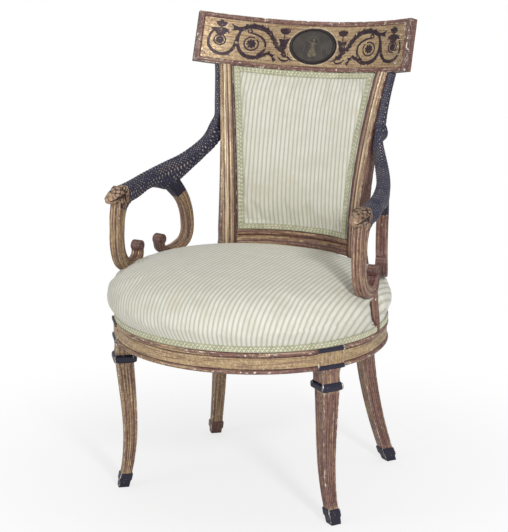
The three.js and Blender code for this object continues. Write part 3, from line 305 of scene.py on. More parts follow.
def gilt_paint(name, bright=1.0, inked=False, right_side_shade=0.0):
    """Worn gold leaf over red brown bole, with ebonised bands. Marks on the mesh say where each lies; a high tone in
    grooves and steps is painted shade, a tone below zero on the stiles' moulding is painted highlight, and the side
    argument browns the right-hand side as painted shade.
    """
    p = Paint(name)
    tone, black, along = p.mark("tone"), p.mark("black"), p.mark("along", True)
    broad, middle, fine = p.noise(26, 5, 0.6), p.noise(150, 4, 0.6), p.noise(620, 2, 0.5)
    streak = p.noise(1.0, 4, 0.65, p.scaled(along, (12, 330, 330)))
    flecks = p.noise(310, 3, 0.7)

    def lit(r, g, b):
        return rgb(r * bright, g * bright, b * bright)
    gold = p.mix(p.steps(middle, 0.35, 0.7), lit(191, 165, 124), lit(163, 134, 100))
    # A tone below zero gives pale gold: the crest's gold line, and the painted highlight on the stiles' raised
    # moulding.
    gold = p.mix(p.steps(tone, -0.1, -0.6), gold, lit(226, 209, 178))
    plain = p.steps(tone, 0.04, 0.2, 0.62, 0.9)
    gold = p.mix(p.math("MULTIPLY", p.steps(streak, 0.46, 0.6), plain), gold, lit(94, 62, 56))
    gold = p.mix(p.steps(flecks, 0.55, 0.68, 0, 0.7), gold, lit(234, 221, 196))
    brown = p.mix(p.steps(middle, 0.35, 0.7), rgb(130, 93, 82), rgb(84, 54, 53))
    brown = p.mix(p.steps(streak, 0.5, 0.64, 0, 0.7), brown, rgb(172, 143, 118))
    worn = p.math("ADD", tone, p.math("MULTIPLY", p.math("SUBTRACT", broad, 0.5), 0.9))
    worn = p.math("ADD", worn, p.math("MULTIPLY", p.math("SUBTRACT", streak, 0.5), 1.3))
    worn = p.math("ADD", worn, p.math("MULTIPLY", p.math("SUBTRACT", middle, 0.5), 0.4))
    # Painted shade: more bole shows towards the chair's right-hand side, by X.
    if right_side_shade:
        right = p.steps(p.axis(p.place, "X"), -0.15, 0.15, -right_side_shade, right_side_shade)
        worn = p.math("ADD", worn, right)
    worn = p.steps(worn, 0.3, 0.62)
    colour = p.mix(worn, gold, brown)
    veins = p.noise(1.0, 3, 0.6, p.scaled(along, (7, 190, 190)))
    veins = p.math("MULTIPLY", p.steps(veins, 0.49, 0.58), p.steps(tone, 0.06, 0.2, 0, 0.72))
    colour = p.mix(veins, colour, rgb(98, 60, 58))
    colour = p.mix(p.steps(tone, 0.76, 1.12, 0, 0.85), colour, rgb(60, 37, 40))
    inky = p.mix(p.steps(middle, 0.52, 0.8, 0, 0.4), rgb(25, 23, 46), rgb(74, 58, 62))
    if inked:
        ink = p.mark("ink")
        ragged = p.math("ADD", ink, p.math("MULTIPLY", p.math("SUBTRACT", fine, 0.5), 1.2))
        painted = p.steps(ragged, -0.35, 0.35)
        plum = p.mix(p.steps(middle, 0.42, 0.7), rgb(42, 28, 40), rgb(70, 48, 50))
        painted = p.math("MULTIPLY", painted, p.steps(p.noise(85, 5, 0.7), 0.66, 0.6))
        colour = p.mix(painted, colour, plum)
    patchy = p.math("ADD", black, p.math("MULTIPLY", p.math("SUBTRACT", middle, 0.55), 0.7))
    dark = p.steps(patchy, 0.4, 0.6)
    colour = p.mix(dark, colour, inky)
    chip = p.steps(p.math("ADD", p.noise(90, 5, 0.72), p.math("MULTIPLY", p.mark("edge"), 0.1)), 0.675, 0.7)
    small = p.steps(p.math("ADD", p.noise(270, 4, 0.7), p.math("MULTIPLY", p.mark("edge"), 0.05)), 0.69, 0.71)
    worn_line = p.noise(1.0, 4, 0.7, p.scaled(along, (70, 260, 260)))
    worn_line = p.steps(p.math("ADD", worn_line, p.math("MULTIPLY", p.mark("edge"), 0.13)), 0.67, 0.7)
    chip = p.math("MAXIMUM", p.math("MAXIMUM", chip, small), worn_line)
    colour = p.mix(chip, colour, rgb(228, 219, 202))
    colour = p.mix(p.steps(fine, 0.58, 0.75, 0, 0.35), colour, rgb(70, 46, 34))
    p.colour(colour)
    shine = p.math("MULTIPLY", p.math("SUBTRACT", 1.0, worn), p.math("SUBTRACT", 1.0, dark))
    p.metal(p.math("MULTIPLY", shine, 0.35))
    p.roughness(p.steps(middle, 0.3, 0.75, 0.36, 0.58))
    relief = p.math("ADD", p.math("MULTIPLY", middle, 0.6), p.math("MULTIPLY", fine, 0.25))
    p.bump(p.math("SUBTRACT", relief, p.math("MULTIPLY", chip, 0.5)), 0.0007, 0.6)
    return p.material


def serpent_paint():
    """Blue black scales with worn tan specks, turning to gilt on the head. The mark gilt says where; the mark scale
    gives the painted highlight on the scale tops and the painted shade in the head's crevices, and the gold is painted
    darker on the chair's right side.
    """
    p = Paint("serpent_scales")
    scale, gilt = p.mark("scale"), p.mark("gilt")
    broad, middle, fine = p.noise(30, 4, 0.6), p.noise(170, 4, 0.6), p.noise(640, 2, 0.5)
    body = p.mix(p.steps(broad, 0.35, 0.65), rgb(21, 20, 50), rgb(32, 30, 54))
    # Painted highlight: the raised tops of the scales are lightened.
    body = p.mix(p.steps(scale, 0.3, 0.75, 0, 0.7), body, rgb(62, 61, 80))
    rubbed = p.math("ADD", middle, p.math("MULTIPLY", p.math("SUBTRACT", broad, 0.5), 0.6))
    edges = p.math("MULTIPLY", p.steps(scale, 0.84, 0.95), p.steps(rubbed, 0.44, 0.55))
    body = p.mix(p.steps(scale, 0.04, 0.22, 0.4, 0), body, rgb(140, 132, 126))
    body = p.mix(p.math("MULTIPLY", edges, 0.9), body, rgb(196, 186, 170))
    body = p.mix(p.steps(rubbed, 0.66, 0.74, 0, 0.6), body, rgb(132, 104, 84))
    gold = p.mix(p.steps(middle, 0.4, 0.68), rgb(196, 168, 138), rgb(130, 100, 84))
    gold = p.mix(p.steps(broad, 0.44, 0.62, 0, 0.5), gold, rgb(104, 70, 54))
    # Painted shade: the gilt head on the chair's right side is darker, by X.
    gold = p.mix(p.steps(p.axis(p.place, "X"), -0.15, 0.15, 0, 0.3), gold, rgb(106, 82, 62))
    # Painted shade: the gilt darkens where the scale mark is low, in the head's carved crevices.
    gold = p.mix(p.steps(scale, 0.05, 0.55, 0.95, 0.0), gold, rgb(44, 28, 30))
    ragged = p.math("ADD", gilt, p.math("MULTIPLY", p.math("SUBTRACT", middle, 0.5), 0.6))
    p.colour(p.mix(p.steps(ragged, 0.42, 0.58), body, gold))
    p.metal(p.math("MULTIPLY", gilt, 0.3))
    p.roughness(p.steps(middle, 0.3, 0.7, 0.34, 0.56))
    p.bump(p.math("ADD", middle, p.math("MULTIPLY", fine, 0.4)), 0.0006, 0.5)
    return p.material


def silk_paint():
    """Cream silk with thin grey green stripes. The mark cloth holds the place on the flat cloth."""
    p = Paint("striped_silk", roughness=0.62)
    cloth = p.mark("cloth", True)
    across = p.axis(cloth, "X")
    wave = p.math("SUBTRACT", p.noise(18, 2, 0.5), 0.5)
    place = p.math("ADD", across, p.math("MULTIPLY", wave, 0.0012))
    phase = p.math("FRACT", p.math("MULTIPLY", place, 1 / 0.0092), 0)
    gap = p.math("ABSOLUTE", p.math("SUBTRACT", phase, 0.5), 0)
    stripe = p.steps(gap, 0.15, 0.23, 1, 0)
    thin = p.steps(p.math("ABSOLUTE", p.math("SUBTRACT", gap, 0.33), 0), 0.02, 0.05, 0.25, 0)
    soft = p.noise(34, 4, 0.6)
    thread = p.noise(1.0, 3, 0.6, p.scaled(cloth, (2600, 90, 90)))
    ground = p.mix(p.steps(soft, 0.35, 0.7), rgb(223, 221, 210), rgb(214, 211, 197))
    ground = p.mix(p.steps(thread, 0.45, 0.75, 0, 0.3), ground, rgb(203, 199, 182))
    line = p.mix(p.steps(thread, 0.4, 0.7), rgb(182, 182, 162), rgb(168, 167, 146))
    colour = p.mix(p.math("MULTIPLY", stripe, 0.85), ground, line)
    colour = p.mix(thin, colour, line)
    p.colour(p.mix(p.steps(p.noise(9, 5, 0.65), 0.58, 0.72, 0, 0.3), colour, rgb(196, 184, 156)))
    warp = p.math("SINE", p.math("MULTIPLY", across, 2 * math.pi / 0.0007), 0)
    weft = p.math("SINE", p.math("MULTIPLY", p.axis(cloth, "Y"), 2 * math.pi / 0.0007), 0)
    weave = p.math("MULTIPLY", p.math("ADD", warp, weft), 0.25)
    p.bump(p.math("ADD", weave, p.math("ADD", thread, p.math("MULTIPLY", stripe, 0.5))), 0.0002, 0.5)
    p.shader.inputs["Sheen Weight"].default_value = 0.25
    p.shader.inputs["Sheen Roughness"].default_value = 0.4
    return p.material


def gimp_paint():
    p = Paint("braided_gimp", roughness=0.75)
    strand = p.mark("strand")
    soft, fine = p.noise(60, 4, 0.6), p.noise(1500, 2, 0.5)
    green = p.mix(p.steps(soft, 0.35, 0.7), rgb(184, 184, 156), rgb(162, 162, 132))
    cream = p.mix(p.steps(soft, 0.35, 0.7), rgb(224, 222, 198), rgb(206, 202, 174))
    colour = p.mix(p.steps(strand, 0.35, 0.65), green, cream)
    # Painted shade: the low places between the strands are darkened.
    p.colour(p.mix(p.steps(p.mark("gap_shade_height"), 0.0, 0.6, 0.6, 0), colour, rgb(110, 108, 80)))
    p.bump(fine, 0.0003, 0.6)
    p.shader.inputs["Sheen Weight"].default_value = 0.2
    return p.material


def medallion_paint():
    p = Paint("medallion_bronze", roughness=0.45)
    rim, proud = p.mark("rim"), p.mark("proud")
    broad, middle, fine = p.noise(50, 5, 0.65), p.noise(260, 4, 0.6), p.noise(900, 2, 0.5)
    field = p.mix(p.steps(broad, 0.35, 0.65), rgb(66, 61, 56), rgb(48, 43, 42))
    field = p.mix(p.steps(middle, 0.5, 0.7, 0, 0.5), field, rgb(98, 86, 68))
    figure = p.mix(p.steps(middle, 0.4, 0.7), rgb(104, 95, 76), rgb(74, 66, 56))
    colour = p.mix(p.steps(proud, 0.3, 1.2), field, figure)
    p.colour(p.mix(p.steps(rim, 0.4, 0.6), colour, rgb(40, 30, 30)))
    p.metal(p.math("MULTIPLY", p.steps(middle, 0.4, 0.7), 0.25))
    p.bump(p.math("ADD", middle, p.math("MULTIPLY", fine, 0.5)), 0.0005, 0.6)
    return p.material


def raw_wood_paint():
    p = Paint("raw_wood", roughness=0.75)
    grain = p.noise(1.0, 6, 0.6, p.scaled(p.place, (30, 240, 300)), 0.4)
    rings = p.noise(1.0, 3, 0.5, p.scaled(p.place, (8, 60, 70)))
    colour = p.mix(p.steps(grain, 0.35, 0.65), rgb(186, 148, 102), rgb(146, 106, 68))
    p.colour(p.mix(p.steps(rings, 0.45, 0.6, 0, 0.5), colour, rgb(120, 84, 52)))
    p.bump(grain, 0.0004, 0.5)
    return p.material


def steel_paint():
    p = Paint("screw_steel", roughness=0.4, metallic=0.85)
    fine = p.noise(900, 4, 0.6)
    p.colour(p.mix(p.steps(fine, 0.4, 0.65), rgb(128, 124, 118), rgb(96, 84, 72)))
    p.roughness(p.steps(fine, 0.3, 0.7, 0.3, 0.6))
    p.bump(fine, 0.0002, 0.4)
    return p.material


def jute_paint():
    p = Paint("jute_webbing", roughness=0.9)
    cloth = p.mark("cloth", True)
    warp = p.math("SINE", p.math("MULTIPLY", p.axis(cloth, "X"), 2 * math.pi / 0.003), 0)
    weft = p.math("SINE", p.math("MULTIPLY", p.axis(cloth, "Y"), 2 * math.pi / 0.003), 0)
    weave = p.math("MULTIPLY", warp, weft)
    edge = p.steps(p.math("ABSOLUTE", p.axis(cloth, "X"), 0), 0.018, 0.019)
    colour = p.mix(p.steps(weave, -0.6, 0.6), rgb(150, 124, 84), rgb(184, 158, 112))
    colour = p.mix(p.math("MULTIPLY", edge, 0.5), colour, rgb(120, 60, 46))
    p.colour(p.mix(p.steps(p.noise(120, 3, 0.6), 0.45, 0.7, 0, 0.4), colour, rgb(118, 94, 62)))
    p.bump(weave, 0.0006, 0.8)
    return p.material


def linen_paint(name, dark, light):
    p = Paint(name, roughness=0.9)
    cloth = p.mark("cloth", True)
    warp = p.math("SINE", p.math("MULTIPLY", p.axis(cloth, "X"), 2 * math.pi / 0.0014), 0)
    weft = p.math("SINE", p.math("MULTIPLY", p.axis(cloth, "Y"), 2 * math.pi / 0.0014), 0)
    weave = p.math("MULTIPLY", warp, weft)
    slub = p.noise(1.0, 3, 0.6, p.scaled(cloth, (900, 60, 60)))
    colour = p.mix(p.steps(weave, -0.6, 0.6), dark, light)
    p.colour(p.mix(p.steps(slub, 0.45, 0.7, 0, 0.5), colour, dark))
    p.bump(p.math("ADD", weave, slub), 0.0003, 0.7)
    return p.material


GILT = gilt_paint("worn_gilt", right_side_shade=0.15)
# A dimmer copy of the gilt with more right-hand painted shade, for the scrolls under the arms: a painted-shade copy of
# worn_gilt.
GILT_SHADED = gilt_paint("worn_dark_gilt", 0.94, right_side_shade=0.24)
CREST_GILT = gilt_paint("crest_gilt", 0.96, inked=True)
SERPENT = serpent_paint()
SILK = silk_paint()
GIMP = gimp_paint()
BRONZE = medallion_paint()
RAW = raw_wood_paint()
STEEL = steel_paint()
JUTE = jute_paint()
LINEN = linen_paint("base_linen", rgb(176, 160, 128), rgb(214, 202, 172))
BLACK_LINEN = linen_paint("bottom_linen", rgb(40, 38, 36), rgb(66, 62, 58))

# The seat outline, by the angle from the front

SEAT_HALF, SEAT_BACK, SEAT_BACK_POWER = 271.0, 258.0, 2.25
RAIL_BOTTOM, RAIL_FACE_TOP, RAIL_TOP = 313.0, 355.0, 372.0


def seat_point(angle):
    a = np.radians(angle)
    s, c = np.sin(a), np.cos(a)
    power = np.where(c > 0, 2.0, SEAT_BACK_POWER)
    depth = np.where(c > 0, SEAT_FRONT, SEAT_BACK)
    radius = ((np.abs(s) / SEAT_HALF) ** power + (np.abs(c) / depth) ** power) ** (-1 / power)
    return np.stack([radius * s, -radius * c, np.zeros_like(radius)], -1)


def seat_normal(angle):
    run = seat_point(angle + 0.05) - seat_point(angle - 0.05)
    return unit(np.stack([run[..., 1], -run[..., 0], 0 * run[..., 0]], -1))


def frame_at(centre, turn):
    a = np.radians(turn)
    s, c, zero = np.sin(a), np.cos(a), 0 * a
    return {"centre": np.array(centre, float), "n": np.stack([s, -c, zero], -1), "t": np.stack([c, s, zero], -1)}


# Rear uprights

REAR_SEAT_ANGLE = 38.6
REAR_ANGLE = 180 - REAR_SEAT_ANGLE
LEG_INNER = float(np.linalg.norm(seat_point(REAR_ANGLE))) - 25.84
UPRIGHT_RADIUS = LEG_INNER - 9.7
BACK_RAIL_LOW, BACK_RAIL_HIGH, CREST_LOW = 454.0, 479.0, 807.0
STILE_RUN, MIDDLE_RUN, RUN_POWER = 68.5, 61.7, 1.73


def stile_share(z):
    return (z - BACK_RAIL_LOW) / (CREST_LOW - BACK_RAIL_LOW)


def upright_inner(z):
    leg = LEG_INNER + 71.8 * np.maximum((RAIL_BOTTOM - z) / RAIL_BOTTOM, 0) ** 1.76
    middle = mix(LEG_INNER, UPRIGHT_RADIUS, share(z, RAIL_BOTTOM, BACK_RAIL_LOW))
    stile = UPRIGHT_RADIUS + STILE_RUN * np.maximum(stile_share(z), 0) ** RUN_POWER
    return np.where(z < RAIL_BOTTOM, leg, np.where(z < BACK_RAIL_LOW, middle, stile))


def upright_at(z):
    z = np.asarray(z, float)
    to_stile, to_crest = share(z, RAIL_TOP, BACK_RAIL_LOW), share(z, BACK_RAIL_HIGH, CREST_LOW)
    azimuth = np.radians(mix(REAR_SEAT_ANGLE, mix(35.4, 34.0, to_crest), to_stile))
    turn = mix(37.0, mix(37.0, 19.0, to_crest), to_stile)
    leg = mix(23.0, 32.0, share(z, 0, RAIL_BOTTOM))
    at = frame_at((0, 0, 0), 180 - turn)
    at["width"] = mix(mix(leg, 36.0, to_stile), 29.0, to_crest)
    at["depth"] = mix(leg, 23.0, share(z, RAIL_TOP, CREST_LOW))
    inner = upright_inner(z)
    at["front"] = np.stack([np.sin(azimuth) * inner, np.cos(azimuth) * inner, z], -1)
    at["centre"] = at["front"] + at["n"] * at["depth"][..., None] / 2
    return at


def stile_edge(z, outer=False):
    at = upright_at(z)
    return at["front"] + (-0.5 if outer else 0.5) * at["width"][..., None] * at["t"]


# Sections of legs and uprights

REEDS = 5
FACE_STEPS = REEDS * 8


def face_profile(kind, s):
    """How deep a face lies below its plane, as a share of the relief, at places from -1 to 1 across it.

    The kind is a number of reeds, or the moulding of a stile."""
    if kind == 0:
        return np.zeros_like(s)
    if kind != "mould":
        cell = (s / 0.9 + 1) / 2 * kind
        u = 2 * (cell - np.floor(cell)) - 1
        round_top = 1 - np.sqrt(np.maximum(1 - (0.96 * u) ** 2, 0))
        return np.where(np.abs(s) < 0.9, round_top, 0.1)
    # The moulding of a stile's front face, from its outer edge to its inner edge
    knots = [(-1, 0.55), (-0.93, 0.1), (-0.82, 0), (-0.7, 0.15), (-0.6, 0.75), (-0.52, 0.9), (-0.48, 0.5),
             (-0.36, 0.08), (-0.2, 0.0), (-0.04, 0.1), (0.04, 0.6), (0.08, 1.0), (0.16, 1.0), (0.2, 0.6),
             (0.3, 0.2), (0.44, 0.1), (0.56, 0.3), (0.62, 0.9), (0.7, 1.0), (1, 1.0)]
    return np.interp(s, [k[0] for k in knots], [k[1] for k in knots])


def section(at, z, width, depth, kinds, relief, corner=1.6):
    """One ring of a leg: places, and for each its face (0 outer, 1 far, 2 inner, 3 near) and its place across."""
    half = (depth / 2, width / 2)
    n, t = at["n"], at["t"]
    reach = np.linspace(-1, 1, FACE_STEPS, endpoint=False)
    ring, faces, across = [], [], []
    for face, kind in enumerate(kinds):
        own, other = (half[0], half[1]) if face % 2 == 0 else (half[1], half[0])
        r = min(corner, 0.4 * own, 0.4 * other)
        edge = other - 0.293 * r
        along = reach * edge
        past = np.maximum(np.abs(along) - (other - r), 0)
        drop = r - np.sqrt(np.maximum(r * r - past ** 2, 0)) + relief * face_profile(kind, reach)
        high = own - drop
        # Going round: outer face by rising t, far face by falling n, inner by falling t, near by rising n
        if face == 0:
            a, b = high, along
        elif face == 1:
            a, b = -along, high
        elif face == 2:
            a, b = -high, -along
        else:
            a, b = along, -high
        ring.append(at["centre"] * [1, 1, 0] + a[:, None] * n + b[:, None] * t + [0, 0, z])
        faces.append(np.full(len(reach), face))
        across.append(reach if face < 2 else -reach)
    return np.vstack(ring), np.concatenate(faces), np.concatenate(across)


def leg_marks(rows, faces, across, heights, tone, black, edge=None):
    run = np.repeat(np.asarray(heights)[:, None], faces.shape[1], 1)
    along = np.stack([run, across * 0.02 / MM * 1.0, faces * 7.0], -1) * MM
    return {
        "tone": np.asarray(tone).ravel(), "black": np.asarray(black).ravel(),
        "edge": (np.abs(across) > 0.9).astype(float).ravel() if edge is None else np.asarray(edge).ravel(),
        "along": along.reshape(-1, 3),
    }


def bole_share(heights):
    """More of the red bole shows towards the foot of a leg."""
    return 0.14 * (1 - share(np.array(heights), 20, 260))[:, None]


def stack(rings):
    points = np.array([r[0] for r in rings])
    return points, np.array([r[1] for r in rings]), np.array([r[2] for r in rings])


# Front legs

FRONT_ANGLE, FRONT_FACE = 60.5, 54.0
FRONT_HEAD = frame_at(seat_point(np.array(FRONT_ANGLE)), FRONT_FACE)
FRONT_PATH = spline([(b * 20, d * 20) for b, d in zip((0.1, -0.13, -0.32, -0.36, -0.12, 0.4),
                                                      (0.1, 0.23, 0.32, 0.42, 0.56, 0.8))], 40)


def front_leg_at(z):
    place = (1 - share(z, 0, 270.0)) * (len(FRONT_PATH) - 1)
    shift = np.array([np.interp(place, np.arange(len(FRONT_PATH)), FRONT_PATH[:, k]) for k in range(2)])
    shift = shift * (1 - share(z, 270.0, RAIL_BOTTOM))
    centre = FRONT_HEAD["centre"] + (shift[0] - 20) * FRONT_HEAD["n"] + shift[1] * FRONT_HEAD["t"]
    return {**FRONT_HEAD, "centre": centre}


PLAIN = (0, 0, 0, 0)
REEDED = (REEDS, REEDS, 0, REEDS)
STILE = (0, 0, "mould", 0)


def front_leg():
    rows, heights, tone, black, reeds = [], [], [], [], []

    def add(z, size, relief=0.0, dark=0.0, brown=0.3, kinds=PLAIN, corner=1.6):
        rows.append(section(front_leg_at(z), z, size, size, kinds, relief, corner))
        heights.append(z)
        black.append(dark)
        tone.append(brown)
        reeds.append(relief > 0)
    for z, size in ((0, 21), (0.8, 22), (13, 22.8), (14.2, 24.2), (15.5, 25.8), (17, 26), (27.5, 26), (29, 25.4)):
        add(z, size, dark=1.0)
    add(29.8, 23.6, dark=1.0)
    for z in (30.6, 32):
        add(z, 22, dark=0.2)
    low, high = 33.0, 267.0
    for z in np.linspace(low, high, 46):
        ease = smooth(z, low, low + 5) * smooth(z, high, high - 5)
        add(z, mix(21.6, 35, share(z, low, high)), 1.6 * ease, 0.0, 0.3, REEDED)
    bead = [(268.4, 35.4), (269.2, 37.5), (270, 41), (271, 43.6), (272.6, 45.4), (274.6, 46), (279, 46),
            (281.4, 45.4), (283, 43.8), (284.2, 41), (285, 39)]
    for z, size in bead:
        add(z, size, dark=1.0)
    for z, size in ((286.5, 38), (290, 37.2), (296, 37), (302, 37.8), (307, 39.4), (310.5, 41), (312.6, 42)):
        add(z, size, dark=0.0, brown=0.45)
    head = [(312.9, 0.0, 1), (313.2, 2.0, 1), (314.4, 2.2, 1), (319.8, 2.2, 1), (320.8, 1.8, 1), (321.4, 0.2, 1),
            (322.2, -0.8, 0), (345.8, -0.8, 0), (346.6, 0.2, 1), (347.2, 1.8, 1), (348.2, 2.2, 1),
            (353.8, 2.2, 1), (354.7, 1.8, 1), (355.2, 0.2, 0.6), (355.3, -9.5, 0.3), (372, -9.5, 0.0)]
    for z, proud, dark in head:
        depth = 42.0 + proud
        centre = FRONT_HEAD["centre"] + (proud - depth / 2) * FRONT_HEAD["n"]
        wide = 57.0 + (1.2 if proud > 1 else 0)
        rows.append(section({**FRONT_HEAD, "centre": centre}, z, wide, depth, PLAIN, 0, 1.2))
        heights.append(z)
        black.append(float(dark))
        tone.append(0.12)
        reeds.append(False)
    points, faces, across = stack(rows)
    count = points.shape[1]
    # Painted shade: the grooves between the reeds are darkened through the tone mark.
    groove = np.array([face_profile(REEDS, across[i]) * (faces[i] != 2) * reeds[i] for i in range(len(rows))])
    tones = np.repeat(np.array(tone)[:, None], count, 1) - 0.06 + 1.15 * np.clip(groove, 0, 1) ** 0.7
    tones += bole_share(heights)
    blacks = np.repeat(np.array(black)[:, None], count, 1)
    marks = leg_marks(len(rows), faces, across, heights, tones, blacks)
    build_pair("front_leg", points, loft_faces(len(rows), count), GILT, marks)


CREST_MID_Y = UPRIGHT_RADIUS + 60.5
CREST_HEIGHT, CREST_HALF, CREST_RADIUS, CREST_THICK = 106.0, 232.0, 387.0, 18.0
CREST_LEAN, CREST_TILT = math.radians(18.9), math.radians(16.0)
CREST_RISE = np.array([0, math.sin(CREST_LEAN), math.cos(CREST_LEAN)])


def crest_sag(x):
    return CREST_RADIUS - np.sqrt(CREST_RADIUS ** 2 - x ** 2)


def crest_point(x, height, proud):
    """Places on the crest's front face, with proud counted towards the front."""
    x, height, proud = np.broadcast_arrays(*(np.asarray(v, float) for v in (x, height, proud)))
    sag = crest_sag(x)
    base = np.stack([x, CREST_MID_Y - sag * math.cos(CREST_TILT), CREST_LOW + sag * math.sin(CREST_TILT)], -1)
    slope = x / np.sqrt(CREST_RADIUS ** 2 - x ** 2)
    along = unit(np.stack([np.ones_like(x), -slope * math.cos(CREST_TILT), slope * math.sin(CREST_TILT)], -1))
    forward = unit(np.cross(CREST_RISE, along))
    forward = np.where(forward[..., 1:2] > 0, -forward, forward)
    return base + height[..., None] * CREST_RISE + proud[..., None] * forward


def crest_height_of(p):
    """How high places lie above the crest's bottom edge, along its rise."""
    sag = crest_sag(p[..., 0])
    base = np.stack([p[..., 0], CREST_MID_Y - sag * math.cos(CREST_TILT), CREST_LOW + sag * math.sin(CREST_TILT)], -1)
    return ((p - base) * CREST_RISE).sum(-1)


def rear_upright():
    rows, heights, tone, black, reeds = [], [], [], [], []

    def add(z, extra=0.0, relief=0.0, dark=0.0, brown=0.3, kinds=PLAIN):
        at = upright_at(z)
        rows.append(section(at, z, at["width"] + extra, at["depth"] + extra, kinds, relief))
        heights.append(z)
        black.append(dark)
        tone.append(brown)
        reeds.append(relief > 0 and kinds is REEDED)
    for z, extra in ((0, -1), (0.8, 0), (10, 1.0), (12, 2.2), (14, 4.6), (15.5, 5), (27.5, 5), (29, 4.2), (30, 1.5)):
        add(z, extra, dark=0.75, brown=0.82)
    for z in (31, 33):
        add(z, brown=0.6)
    low, high = 34.0, 310.0
    for z in np.linspace(low, high, 56):
        ease = smooth(z, low, low + 5) * smooth(z, high, high - 5)
        add(z, 0, 1.5 * ease, 0.0, 0.32, REEDED)
    for z in np.linspace(313, 385, 10):
        add(z, 0, 0, 0, 0.4)
    for z in np.linspace(388, 800, 78):
        add(z, 0, 2.6 * smooth(z, 388, 396), 0.0, 0.2, STILE)
    # The last ring follows the crest's curved lower edge
    lower, upper = section_pair(800.0, 835.0, 2.6)
    at_low, at_high = crest_height_of(lower), crest_height_of(upper)
    part = (0.6 - at_low) / (at_high - at_low)
    last = mix(lower, upper, part[:, None])
    rows.append((last, rows[-1][1], rows[-1][2]))
    heights.append(835.0)
    black.append(0.0)
    tone.append(0.3)
    reeds.append(False)
    points, faces, across = stack(rows)
    count = points.shape[1]
    z = np.array(heights)
    # Painted shade: the grooves between the reeds are darkened through the tone mark.
    groove = np.array([face_profile(REEDS, across[i]) * (faces[i] != 2) * reeds[i] for i in range(len(rows))])
    tones = np.repeat(np.array(tone)[:, None], count, 1) - 0.06 + 1.15 * np.clip(groove, 0, 1) ** 0.7
    blacks = np.repeat(np.array(black)[:, None], count, 1)
    stile = (z > 392)[:, None] & (faces == 2)
    s = across
    # Painted highlight and shade across the stiles' moulding: its raised parts are pale gold, its hollows dark.
    bands = np.interp(s, [-1, -0.8, -0.7, -0.5, -0.42, -0.04, 0.03, 0.15, 0.22, 0.58, 0.66, 1],
                      [0.5, 0.4, -0.3, 0.6, -0.6, -0.6, 0.9, 0.9, -0.35, -0.2, 1.1, 0.9])
    tones = np.where(stile, bands, tones)
    tones = np.where((z > 392)[:, None] & (faces != 2), 0.75, tones) + bole_share(heights)
    marks = leg_marks(len(rows), faces, across, heights, tones, blacks)
    _, left = build_pair("rear_upright", points, loft_faces(len(rows), count), GILT, marks)
    # The black has worn off the left one's shoe
    left.data.attributes["black"].data.foreach_set("value", marks["black"] * 0.3)


def section_pair(low, high, relief):
    out = []
    for z in (low, high):
        at = upright_at(z)
        out.append(section(at, z, at["width"], at["depth"], STILE, relief)[0])
    return out


# Seat rails: a section of outward distance, height, tone and edge marks, swept round the outline


def rail_section():
    rows = [(-30, 313, 0.5, 0), (-3.4, 313, 0.5, 0)]
    for a in np.linspace(-80, 80, 11):
        z = 317 + 4 * math.sin(math.radians(a))
        rows.append((-2.8 + 2.8 * math.cos(math.radians(a)), z, 0.52, 0.5 if abs(a) < 30 else 0))
    # Painted shade: the narrow steps on both sides of the flat band take a dark tone.
    rows += [(-3.6, 321.2, 1.1, 0), (-3.6, 322.2, 1.0, 0), (-2.7, 322.6, 0.1, 0.5)]
    rows += [(-2.6 - 0.25 * math.sin(math.pi * k / 6), 322.6 + 21 * k / 6, 0.02, 0) for k in range(1, 6)]
    rows += [(-2.7, 343.6, 0.1, 0.5), (-3.6, 344, 1.0, 0), (-3.6, 344.9, 1.1, 0)]
    for a in np.linspace(-80, 80, 11):
        z = 350 + 4.8 * math.sin(math.radians(a))
        rows.append((-2.8 + 2.8 * math.cos(math.radians(a)), z, 0.5, 0.6 if abs(a) < 40 else 0))
    rows += [(-4.6, 355, 0.8, 0), (-5, 355.6, 0.8, 0), (-5, 372, 0.8, 0), (-30, 372, 0.8, 0)]
    return np.array(rows)


def angle_at(joint, centre_angle, target):
    angles = np.linspace(centre_angle - 14, centre_angle + 14, 561)
    t = ((seat_point(angles) - joint["centre"] * [1, 1, 0]) * joint["t"]).sum(-1)
    return float(np.interp(target, t, angles))


def rail(name, start, end, nodes, mirror=False):
    rows = rail_section()
    angles = np.linspace(start, end, int((end - start) / 1.2) + 2)
    p, n = seat_point(angles), seat_normal(angles)
    points = p[:, None] + rows[None, :, 0, None] * n[:, None] + np.array([0, 0, 1.0]) * rows[None, :, 1, None]
    count = len(rows)
    run = np.radians(angles) * 262
    along = np.stack(np.broadcast_arrays(run[:, None], rows[None, :, 1] * 1.0, rows[None, :, 0]), -1) * MM
    marks = {
        "tone": np.tile(rows[:, 2], len(angles)), "black": np.zeros(len(angles) * count),
        "edge": np.tile(rows[:, 3], len(angles)), "along": along.reshape(-1, 3),
    }
    faces = loft_faces(len(angles), count)
    if mirror:
        build_pair(name, points, faces, GILT, marks)
    else:
        build(name + "_piece", points, faces, GILT, nodes, marks)


REAR_JOINT = upright_at(mix(RAIL_BOTTOM, RAIL_TOP, 0.5))
FRONT_END = angle_at(FRONT_HEAD, FRONT_ANGLE, -26.0)
SIDE_START = angle_at(FRONT_HEAD, FRONT_ANGLE, 26.0)
SIDE_END = angle_at(REAR_JOINT, REAR_ANGLE, -13.5)
REAR_START = angle_at(REAR_JOINT, REAR_ANGLE, 13.5)


def seat_frame():
    rail("front_rail", -FRONT_END, FRONT_END, ("front_rail",))
    rail("side_rail", SIDE_START, SIDE_END, (), mirror=True)
    rail("rear_rail", REAR_START, 360 - REAR_START, ("rear_rail",))


# The surface of the back


def back_surface(x, z):
    edge = stile_edge(z)
    middle = UPRIGHT_RADIUS + MIDDLE_RUN * np.maximum(stile_share(z), 0) ** RUN_POWER
    sag = middle - edge[..., 1]
    radius = (edge[..., 0] ** 2 + sag ** 2) / (2 * sag)
    return middle - radius + np.sqrt(radius ** 2 - x ** 2)


